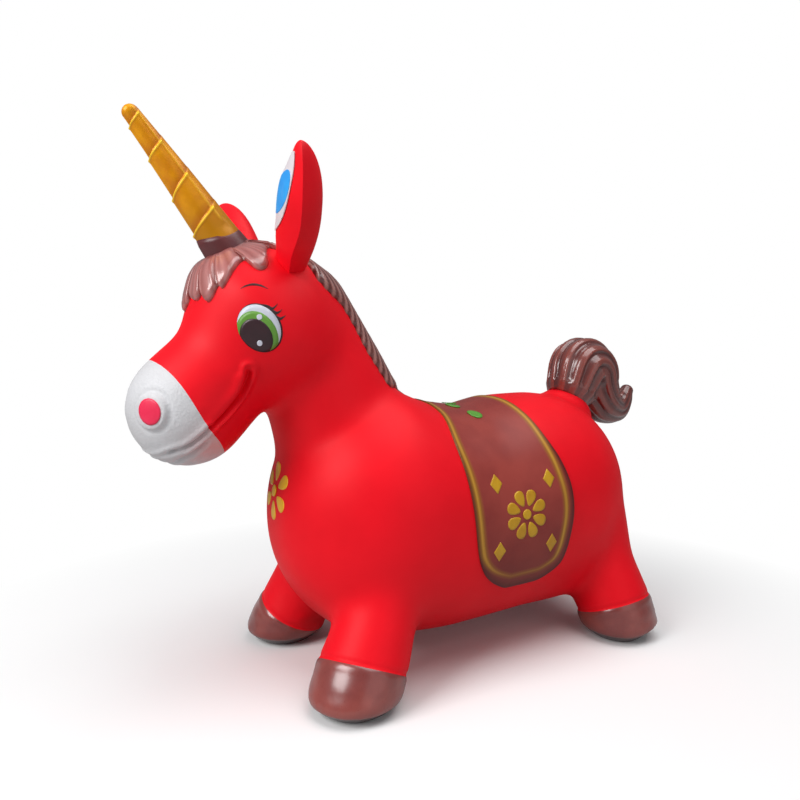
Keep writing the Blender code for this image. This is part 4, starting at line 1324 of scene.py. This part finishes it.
white_leaf, blue_oval = oval((-0.24, 0.575), 0.62, 0.345), oval((-0.20, 0.583), 0.52, 0.198)
ear_whites, ear_blues = [], []
for obj, place in ((left_ear, LEFT_EAR), (turned_ear, RIGHT_EAR)):
    leaf = surface_of(obj)
    ear_whites += patch("ear_print", leaf, white_leaf, on_ear(*place, 0.7), EAR_WHITE_FILM, LEFT_ONLY)
    ear_blues += patch("ear_spot", leaf, blue_oval, on_ear(*place, 1.4), EAR_BLUE_FILM, LEFT_ONLY)
for films in (ear_whites, ear_blues):
    films.append(mirror_copy(films[1], films[1].name + "_right"))
    bpy.data.objects.remove(films.pop(1))
bpy.data.objects.remove(turned_ear)
print("prints on the ears:", len(ear_whites) + len(ear_blues))

# %% [markdown]
# ## Motifs on saddle and chest
# A plain gold rosette with four small diamonds is printed on each side of the cloth, a row of green dots on its top
# and one more rosette on the chest. Each motif is drawn flat, and its points are shot at the cloth from one side, so
# it bends with the cloth but keeps its proportions.

# %% Print the motifs
PRINT_FILM = 0.0003
PETAL_POINTS = 24
CLOTH_REACH, CHEST_REACH, DIAMOND_OFF = 0.026, 0.030, 0.034
DOT_RADIUS, DOT_COUNT = 0.0085, 5
saddle_surface = surface_of(saddle)


def facing(surface, centre, normal, up):
    """A place function for a flat design that is pressed on a surface from one side."""
    normal = Vector(normal).normalized()
    across = Vector(up).cross(normal).normalized()
    up = normal.cross(across)

    def place_of(a, b):
        start = Vector(centre) + across * a + up * b + normal * 0.06
        return surface.ray_cast(start, -normal)[0]
    return place_of


def petal(reach, wide, turn, start):
    """Outline of a leaf-shaped petal that points away from the middle."""
    points = []
    for i in range(PETAL_POINTS):
        t = FULL_TURN * i / PETAL_POINTS
        along = start + (reach - start) * 0.5 * (1.0 + math.cos(t))
        side = 0.5 * wide * math.sin(t) * (0.7 + 0.3 * math.cos(t))
        points.append((along * math.cos(turn) - side * math.sin(turn), along * math.sin(turn) + side * math.cos(turn)))
    return points


def rosette(name, surface, place_of, reach, petals, sides):
    """A ring of petals around a round heart."""
    turns = [FULL_TURN * (k + 0.5) / petals for k in range(petals)]
    outlines = [petal(reach, 0.62 * reach, turn, 0.34 * reach) for turn in turns]
    outlines.append(oval((0.0, 0.0), 0.20 * reach, 0.20 * reach, 0.0, 24))
    films = []
    for outline in outlines:
        films += patch(name, surface, outline, place_of, PRINT_FILM, sides, cuts=3)
    return films


cloth_side = facing(saddle_surface, (-0.040, 0.125, 0.170), (0.0, 1.0, 0.12), (0.0, 0.0, 1.0))
gold_prints = rosette("cloth_rosette", saddle_surface, cloth_side, CLOTH_REACH, 8, BOTH_SIDES)
for b in (DIAMOND_OFF, -DIAMOND_OFF):
    for a in (-DIAMOND_OFF, DIAMOND_OFF):
        corners = np.radians((0.0, 90.0, 180.0, 270.0))
        diamond = [(a + 0.0075 * math.cos(t), b + 0.0100 * math.sin(t)) for t in corners]
        gold_prints += patch("cloth_diamond", saddle_surface, diamond, cloth_side, PRINT_FILM, cuts=4)
cloth_top = facing(saddle_surface, (-0.035, 0.0, 0.285), (0.0, 0.0, 1.0), (1.0, 0.0, 0.0))
green_prints = []
for k in range(DOT_COUNT):
    dot = oval((0.052 * (k - 2) / 2.0, 0.022 if k % 2 else 0.010), DOT_RADIUS, DOT_RADIUS, 0.0, 20)
    green_prints += patch("cloth_dot", saddle_surface, dot, cloth_top, PRINT_FILM, LEFT_ONLY, cuts=2)
chest_front = facing(smooth_skin, (0.19, 0.0, 0.195), (1.0, 0.0, 0.10), (0.0, 0.0, 1.0))
chest_prints = rosette("chest_rosette", smooth_skin, chest_front, CHEST_REACH, 6, LEFT_ONLY)
print("motif prints:", len(gold_prints) + len(green_prints) + len(chest_prints))

# %% [markdown]
# ## Air valve
# The toy is blown up through a small valve in the rump: a white ring welded into the skin, and a stopper with a domed
# head. Both are turned shapes, extruded ring by ring along the valve's axis. The skin is opened under the ring, and
# pressed in around it, so that the ring lies in a shallow dish.

# %% Turn the valve
seat_low, seat_high = (Vector(corner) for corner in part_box("valve_seat"))
plug_low, plug_high = (Vector(corner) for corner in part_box("valve_plug"))
VALVE_FACE, VALVE_HEIGHT = seat_low.x, 0.5 * (seat_low.z + seat_high.z)
RING, BORE, HEAD_RING = 0.5 * (seat_high.z - seat_low.z), 0.0060, 0.5 * (plug_high.z - plug_low.z)
HEAD_DEPTH = VALVE_FACE - plug_low.x
FLAT_BACK = math.radians(-90.0)
NECK, WELD_DEPTH, HOLE, DISH = 0.0085, 0.0015, 0.0086, 2.8
RUMP = -0.2


def turned(name, profile):
    """A turned piece from (depth into the rump, radius) pairs."""
    rings = [(middle(VALVE_FACE + depth, VALVE_HEIGHT), FLAT_BACK, radius, radius) for depth, radius in profile]
    return tube(name, rings, slices=48)


valve_ring = turned("valve_ring", (
    (0.0170, NECK - 0.0005), (0.0165, NECK), (0.0034, NECK), (0.0030, RING - 0.0006), (0.0022, RING),
    (0.0012, RING - 0.0001), (0.0004, RING - 0.0008), (0.0001, RING - 0.0018), (0.0, RING - 0.0030),
    (0.0, BORE + 0.0010), (0.0003, BORE + 0.0003), (0.0010, BORE), (0.0150, BORE)))
stopper = turned("valve_stopper", (
    (0.0120, 0.0046), (0.0116, 0.0050), (-0.0003, BORE - 0.0003), (-0.0003, HEAD_RING - 0.0004),
    (-0.0008, HEAD_RING), (-0.6 * HEAD_DEPTH, HEAD_RING - 0.0002), (-0.85 * HEAD_DEPTH, HEAD_RING - 0.0012),
    (-0.97 * HEAD_DEPTH, HEAD_RING - 0.0032), (-HEAD_DEPTH, HEAD_RING - 0.0062)))
spots = face_centres(skin)
with faces_of(skin, (np.hypot(spots[:, 1], spots[:, 2] - VALVE_HEIGHT) < RING - 0.0030) & (spots[:, 0] < RUMP)):
    bpy.ops.mesh.delete(type="FACE")
spots = coords(skin)
spots[:, 2] -= VALVE_HEIGHT
off_axis = np.hypot(spots[:, 1], spots[:, 2])
dish = np.where(spots[:, 0] < RUMP, 1.0 - ease(off_axis, RING, DISH * RING), 0.0)
spots[:, 0] += dish * (VALVE_FACE + WELD_DEPTH - spots[:, 0])
brim = (dish > 0.0) & (off_axis < HOLE)
spots[brim, 1:] *= HOLE / off_axis[brim, None]
spots[:, 2] += VALVE_HEIGHT
set_coords(skin, spots)
print("valve ring in mm:", round(2000.0 * RING, 1))

# %% [markdown]
# ## Materials
# All finishes are soft vinyl or paint on it. Each gets a broad drift of colour, as sprayed paint has, a fine grain in
# its roughness and a fine bump from the mould. The textures use object coordinates, so they stay on the piece. One
# class builds the nodes for all of them, so that the finishes stay alike.

# %% A painted vinyl
def colour(red, green, blue):
    """A screen colour from 0 to 255 as linear light."""
    scaled = [value / 255.0 for value in (red, green, blue)]
    return tuple(v / 12.92 if v <= 0.04045 else ((v + 0.055) / 1.055) ** 2.4 for v in scaled) + (1.0,)


class Paint:
    """A material with a drift of colour, grained roughness and a moulded bump."""

    def __init__(self, name, first, second, drift=14.0, rough=(0.38, 0.5), grain=900.0, bump=0.06, depth=0.0006,
                 metallic=0.0, specular=0.45, coat=0.0, gloss=0.25):
        self.material = bpy.data.materials.new(name)
        self.material.use_nodes = True
        self.tree = self.material.node_tree
        self.shader = self.tree.nodes["Principled BSDF"]
        for socket, number in (("Metallic", metallic), ("Specular IOR Level", specular), ("Coat Weight", coat),
                               ("Coat Roughness", gloss)):
            self.shader.inputs[socket].default_value = number
        self.place = self.node("ShaderNodeTexCoord").outputs["Object"]
        broad = self.noise(drift, 3.0)
        self.base = self.mix(self.ranged(broad, 0.35, 0.65, 0.0, 1.0), first, second)
        fine = self.noise(grain, 2.0)
        self.link(self.ranged(fine, 0.25, 0.75, *rough), self.shader.inputs["Roughness"])
        relief = self.node("ShaderNodeBump")
        relief.inputs["Strength"].default_value = bump
        relief.inputs["Distance"].default_value = depth
        self.link(fine, relief.inputs["Height"])
        self.link(relief.outputs["Normal"], self.shader.inputs["Normal"])

    def node(self, kind):
        return self.tree.nodes.new(kind)

    def link(self, source, target):
        self.tree.links.new(source, target)

    def noise(self, scale, detail):
        node = self.node("ShaderNodeTexNoise")
        node.inputs["Scale"].default_value = scale
        node.inputs["Detail"].default_value = detail
        self.link(self.place, node.inputs["Vector"])
        return node.outputs["Fac"]

    def ranged(self, value, low, high, new_low, new_high):
        node = self.node("ShaderNodeMapRange")
        for name, number in (("From Min", low), ("From Max", high), ("To Min", new_low), ("To Max", new_high)):
            node.inputs[name].default_value = number
        self.link(value, node.inputs["Value"])
        return node.outputs["Result"]

    def mix(self, share, first, second):
        node = self.node("ShaderNodeMix")
        node.data_type = "RGBA"
        self.link(share, node.inputs["Factor"])
        for socket, value in ((node.inputs[6], first), (node.inputs[7], second)):
            if isinstance(value, tuple):
                socket.default_value = value
            else:
                self.link(value, socket)
        return node.outputs[2]

    def mask(self, name, low=0.0, high=1.0):
        """The piece's own mask of that name, stretched to run from low to high."""
        node = self.node("ShaderNodeAttribute")
        node.attribute_name = name
        return self.ranged(node.outputs["Fac"], low, high, 0.0, 1.0)

    def coat(self, share, second):
        """Sprays a second colour over the first where the mask is strong."""
        self.base = self.mix(share, self.base, second)
        return self

    def done(self):
        self.link(self.base, self.shader.inputs["Base Color"])
        return self.material


print("white as linear light:", colour(255, 255, 255)[:3])

# %% [markdown]
# ## The paints
# Where a second colour is sprayed over the first, as on the horn's foot and the cloth's border, a mask that is stored
# on the mesh mixes it in. Masks of the same kind mix in painted shade on the hooves' soles, on the lower cloth and at
# the start of each band of the horn, and a painted highlight on the horn's lips and on the ridges of the hair. The
# hooves and the hair have a clear coat, which gives their pearly shine. The muzzle has the strongest bump and is the
# most matt.

# %% Mix the paints
red_vinyl = Paint("red_vinyl", colour(240, 10, 30), colour(230, 6, 26), rough=(0.44, 0.56), specular=0.18).done()
hoof_paint = Paint("hoof_brown", colour(146, 66, 58), colour(122, 50, 46), drift=30.0, rough=(0.26, 0.40),
                   coat=1.0, gloss=0.22)
# Painted shade: the mask darkens each hoof below its rim, on the underside that turns away from the light.
hoof_brown = hoof_paint.coat(hoof_paint.mask("sole_shade"), colour(64, 26, 28)).done()


def hair(name, dark, light, ridge, coat):
    """Painted hair: two browns in a drift, and a paler one on the ridges of the strands as a painted highlight."""
    paint = Paint(name, colour(*dark), colour(*light), drift=40.0, rough=(0.26, 0.38), coat=coat, gloss=0.16)
    # Painted highlight: the strand mask lightens the ridges of the strands.
    return paint.coat(paint.mask("strand", 0.45, 1.0), colour(*ridge)).done()


forelock_brown = hair("forelock_brown", (150, 78, 72), (132, 64, 60), (176, 112, 108), 1.0)
mane_brown = hair("mane_brown", (112, 58, 52), (98, 48, 44), (176, 124, 116), 0.5)
tail_brown = hair("tail_brown", (100, 44, 38), (82, 34, 32), (134, 64, 54), 1.0)
collar_brown = Paint("collar_brown", colour(104, 50, 50), colour(88, 40, 42), drift=40.0, rough=(0.3, 0.42)).done()
gold_paint = Paint("horn_gold", colour(230, 154, 0), colour(210, 130, 0), drift=60.0, rough=(0.32, 0.42),
                   grain=260.0, metallic=0.12, specular=0.3)
gold_paint.coat(gold_paint.mask("foot"), colour(186, 124, 0))
# Painted shade: a darker gold at the start of each band, where it comes out from inside the lip below it.
gold_paint.coat(gold_paint.mask("climb", 0.25, 0.0), colour(184, 104, 2))
# Painted highlight: a pale gold along the lips and the corner streaks.
horn_gold = gold_paint.coat(gold_paint.mask("lip", 0.2, 0.9), colour(250, 204, 48)).done()
muzzle_paint = Paint("muzzle_white", colour(206, 206, 209), colour(197, 196, 198), rough=(0.45, 0.6), grain=420.0,
                     bump=0.5, depth=0.0012)
muzzle_white = muzzle_paint.coat(muzzle_paint.mask("blush", 0.0, 2.1), colour(226, 120, 110)).done()
cloth_paint = Paint("saddle_brown", colour(154, 62, 54), colour(136, 50, 45), drift=24.0, rough=(0.34, 0.48),
                    grain=600.0, specular=0.3)
# Painted shade: the cloth turns darker towards its bottom, by the low mask.
cloth_paint.coat(cloth_paint.mask("low", 0.0, 1.3), colour(110, 38, 32))
cloth_paint.coat(cloth_paint.mask("inset", 0.009, 0.001), colour(88, 28, 26))
cloth_paint.coat(cloth_paint.mask("gold_haze", 0.10, 1.0), colour(154, 106, 28))
cloth_brown = cloth_paint.coat(cloth_paint.mask("gold_line", 0.20, 1.30), colour(206, 152, 58)).done()
plain = {}
for name, first, second in (
        ("eye_dark", (52, 30, 34), (44, 24, 28)), ("eye_white_paint", (206, 210, 222), (198, 202, 215)),
        ("iris_green", (104, 158, 62), (86, 140, 44)), ("pupil_brown", (54, 30, 36), (46, 26, 31)),
        ("nostril_red", (238, 44, 86), (228, 34, 74)), ("ear_white_paint", (226, 220, 224), (217, 210, 215)),
        ("ear_blue_paint", (44, 168, 244), (34, 150, 232)), ("print_gold", (202, 156, 26), (184, 134, 16)),
        ("print_yellow", (240, 190, 30), (226, 168, 18)), ("print_green", (98, 168, 58), (84, 150, 46))):
    plain[name] = Paint(name, colour(*first), colour(*second), drift=60.0, rough=(0.30, 0.42)).done()
valve_white = Paint("valve_white", colour(226, 222, 218), colour(214, 210, 206), rough=(0.40, 0.55)).done()
print("paints for the prints:", len(plain))

# %% [markdown]
# ## Put it together
# Every piece gets its material and smooth shading, and the solid that it stands for is hidden. The skin, the hooves
# and the cloth squash together when the horse bounces, and here they keep their places in their meshes. The muzzle
# and the hair on the head and neck are above the squash, and simply ride on the body.

# %% Dress the skin, hooves, cloth and hair
SQUASH_START, SQUASH_END = (0.0, 0.0, 0.012), (0.0, 0.0, 0.100)


def dress(obj, material, slot, crease=None):
    """Gives a piece its material and smooth shading with an optional crease angle; slot is not used."""
    obj.data.materials.clear()
    obj.data.materials.append(material)
    obj.data.polygons.foreach_set("use_smooth", np.ones(len(obj.data.polygons), dtype=bool))
    obj.data.update()
    if crease:
        take(obj)
        bpy.ops.object.shade_smooth_by_angle(angle=math.radians(crease))


LEG_NAMES = tuple(leg_specs)
dress(skin, red_vinyl, "red_vinyl")
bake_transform(skin)
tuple(SQUASH_START)
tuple(SQUASH_END)
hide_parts("torso_skin", "neck_skin", "head_skin", *(name + "_leg_skin" for name in LEG_NAMES))
for name, hoof in zip(LEG_NAMES, hooves):
    # Painted shade: this mask darkens the faces below the rim of each hoof.
    paint_mask(hoof, "sole_shade", 1.0 - ease(coords(hoof)[:, 2], RIM_HEIGHT - 0.0022, RIM_HEIGHT - 0.0004))
    dress(hoof, hoof_brown, "brown_paint", crease=36.0)
    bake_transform(hoof)
    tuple(SQUASH_START)
    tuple(SQUASH_END)
    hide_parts(name + "_hoof")
dress(saddle, cloth_brown, "saddle_paint")
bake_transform(saddle)
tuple(SQUASH_START)
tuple(SQUASH_END)
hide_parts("saddle")

corner_spot = np.array(seen(bare, 216.5, 445.0))
gaps = np.linalg.norm(coords(muzzle) - corner_spot, axis=1)
far_gaps = np.linalg.norm(coords(muzzle) * OTHER_SIDE - corner_spot, axis=1)
paint_mask(muzzle, "blush", bell(np.minimum(gaps, far_gaps), 0.022))
dress(muzzle, muzzle_white, "white_paint")
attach(muzzle, "body")
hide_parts("muzzle_skin")
for obj, material, node in ((forelock, forelock_brown, "forelock"), (collar, collar_brown, None),
                            (mane, mane_brown, "mane")):
    dress(obj, material, "brown_paint")
    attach(obj, "body")
    if node:
        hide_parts(node)
print("hooves dressed:", len(hooves))

# %% [markdown]
# ## Parts that bend
# The horn, the ears and the tail bend at their roots, where a stiff turn would open a crack. Here they and the prints
# on the ears get their paint and smooth shading, and their places are baked into their meshes.

# %% Dress the horn, tail and ears
dress(horn, horn_gold, "gold_paint")
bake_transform(horn)
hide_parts("horn")
dress(plume, tail_brown, "brown_paint")
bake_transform(plume)
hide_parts("tail")

for name, side, ear, leaf, spot in (("left_ear", 1.0, left_ear, ear_whites[0], ear_blues[0]),
                                    ("right_ear", -1.0, right_ear, ear_whites[1], ear_blues[1])):
    for obj, material, slot in ((ear, red_vinyl, "red_vinyl"), (leaf, plain["ear_white_paint"], "white_paint"),
                                (spot, plain["ear_blue_paint"], "white_paint")):
        dress(obj, material, slot, crease=32.0)
        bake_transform(obj)
    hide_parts(name)
print("ears dressed with prints:", len(ear_whites))

# %% [markdown]
# ## Prints and valve
# All prints of one kind are joined into one piece with one paint. They lie on parts of the skin that don't squash, so
# they ride on the body. The valve's ring rides on it too, and the stopper has a body of its own.

# %% Dress the prints and the valve
for films, material, slot in (
        (eye_lines, "eye_dark", "brown_paint"), (eye_whites, "eye_white_paint", "white_paint"),
        (irises, "iris_green", "white_paint"), (pupils, "pupil_brown", "brown_paint"),
        (glints, "eye_white_paint", "white_paint"), (lashes, "eye_dark", "brown_paint"),
        (nostrils, "nostril_red", "red_vinyl"), (gold_prints, "print_gold", "gold_paint"),
        (green_prints, "print_green", "white_paint"), (chest_prints, "print_yellow", "gold_paint")):
    whole = join(films[0].name + "_prints", films)
    dress(whole, plain[material], slot)
    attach(whole, "body")
for obj, node, body in ((valve_ring, "valve_seat", "body"), (stopper, "valve_plug", "valve_plug")):
    dress(obj, valve_white, "valve_vinyl", crease=40.0)
    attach(obj, body)
    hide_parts(node)
print("faces in the skin that shows:", len(skin.data.polygons))

# %% [markdown]
# ## Floor
# A pale floor catches the soft shadow under the hooves and fades into a white background. It is bright only where the
# camera sees it: for all other rays it is grey, or it would light the belly from below.

# %% Lay the floor
FLOOR_RADIUS, FLOOR_LEVEL = 4.0, -0.0004
FADE_START, FADE_END = 0.30, 0.64
FLOOR_UNSEEN, FLOOR_SEEN = 0.50, 0.93
bpy.ops.object.select_all(action="DESELECT")
bpy.ops.mesh.primitive_circle_add(vertices=96, radius=FLOOR_RADIUS, fill_type="NGON", location=(0.0, 0.0, FLOOR_LEVEL))
floor = bpy.context.object
floor.name = "floor"
floor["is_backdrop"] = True
ground = bpy.data.materials.new("floor_white")
ground.use_nodes = True
nodes, links = ground.node_tree.nodes, ground.node_tree.links
matt = nodes["Principled BSDF"]
matt.inputs["Roughness"].default_value = 0.9
matt.inputs["Specular IOR Level"].default_value = 0.1
glow = nodes.new("ShaderNodeEmission")
length = nodes.new("ShaderNodeVectorMath")
length.operation = "LENGTH"
fade = nodes.new("ShaderNodeMapRange")
fade.inputs["From Min"].default_value = FADE_START
fade.inputs["From Max"].default_value = FADE_END
camera_ray = nodes.new("ShaderNodeLightPath").outputs["Is Camera Ray"]
shade = nodes.new("ShaderNodeMapRange")
shade.inputs["To Min"].default_value = FLOOR_UNSEEN
shade.inputs["To Max"].default_value = FLOOR_SEEN
links.new(camera_ray, shade.inputs["Value"])
links.new(shade.outputs["Result"], matt.inputs["Base Color"])
only_seen = nodes.new("ShaderNodeMath")
only_seen.operation = "MULTIPLY"
blend_in = nodes.new("ShaderNodeMixShader")
links.new(nodes.new("ShaderNodeTexCoord").outputs["Object"], length.inputs[0])
links.new(length.outputs["Value"], fade.inputs["Value"])
links.new(fade.outputs["Result"], only_seen.inputs[0])
links.new(camera_ray, only_seen.inputs[1])
links.new(only_seen.outputs["Value"], blend_in.inputs["Fac"])
links.new(matt.outputs["BSDF"], blend_in.inputs[1])
links.new(glow.outputs["Emission"], blend_in.inputs[2])
links.new(blend_in.outputs["Shader"], nodes["Material Output"].inputs["Surface"])
floor.data.materials.append(ground)
print("floor fades to white at m:", FADE_START, "to", FADE_END)

# %% [markdown]
# ## Sky and lamps
# The background is white where the camera sees it, and a dim, slightly blue sky for all other rays. A large lamp high
# in front of the horse and a larger one over its back do most of the work, and a weak one beside it fills the shadows.
# Large lamps are chosen because they give the soft edges that the shadow on the floor has.

# %% Light the studio
SKY_STRENGTH = 0.20
LAMP_TARGET = Vector((0.0, 0.0, 0.22))
world = bpy.data.worlds.new("studio")
bpy.context.scene.world = world
world.use_nodes = True
nodes, links = world.node_tree.nodes, world.node_tree.links
sky = nodes["Background"]
sky.inputs["Color"].default_value = (0.94, 0.96, 1.0, 1.0)
sky.inputs["Strength"].default_value = SKY_STRENGTH
white = nodes.new("ShaderNodeBackground")
white.inputs["Color"].default_value = (1.0, 1.0, 1.0, 1.0)
choose = nodes.new("ShaderNodeMixShader")
links.new(nodes.new("ShaderNodeLightPath").outputs["Is Camera Ray"], choose.inputs["Fac"])
links.new(sky.outputs["Background"], choose.inputs[1])
links.new(white.outputs["Background"], choose.inputs[2])
links.new(choose.outputs["Shader"], nodes["World Output"].inputs["Surface"])

for name, place, size, power in (("key", (1.55, 0.30, 1.20), 1.0, 26.0), ("top", (-0.2, 0.4, 1.7), 1.4, 18.0),
                                 ("fill", (-0.2, 1.7, 0.7), 1.5, 4.0)):
    bpy.ops.object.light_add(type="AREA", location=place)
    lamp = bpy.context.object
    lamp.name = name
    lamp.data.size = size
    lamp.data.energy = power
    lamp.rotation_mode = "QUATERNION"
    lamp.rotation_quaternion = (LAMP_TARGET - Vector(place)).to_track_quat("-Z", "Y")
    print("lamp:", name, "with", power, "W")
bpy.context.scene.view_settings.view_transform = "Standard"

# %% [markdown]
# ## Compare sizes and finish
# The box of the model that shows is set against the imported model's box, and how far it grows on each axis is printed.
# The model that shows must keep to the imported model's box.

# %% Print how much the model grew
low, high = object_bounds()
{"cad": [list(cad_low), list(cad_high)], "visual": [list(low), list(high)]}
print("grown by mm:", [round(1000.0 * (b - a), 1) for a, b in zip(cad_high, high)])
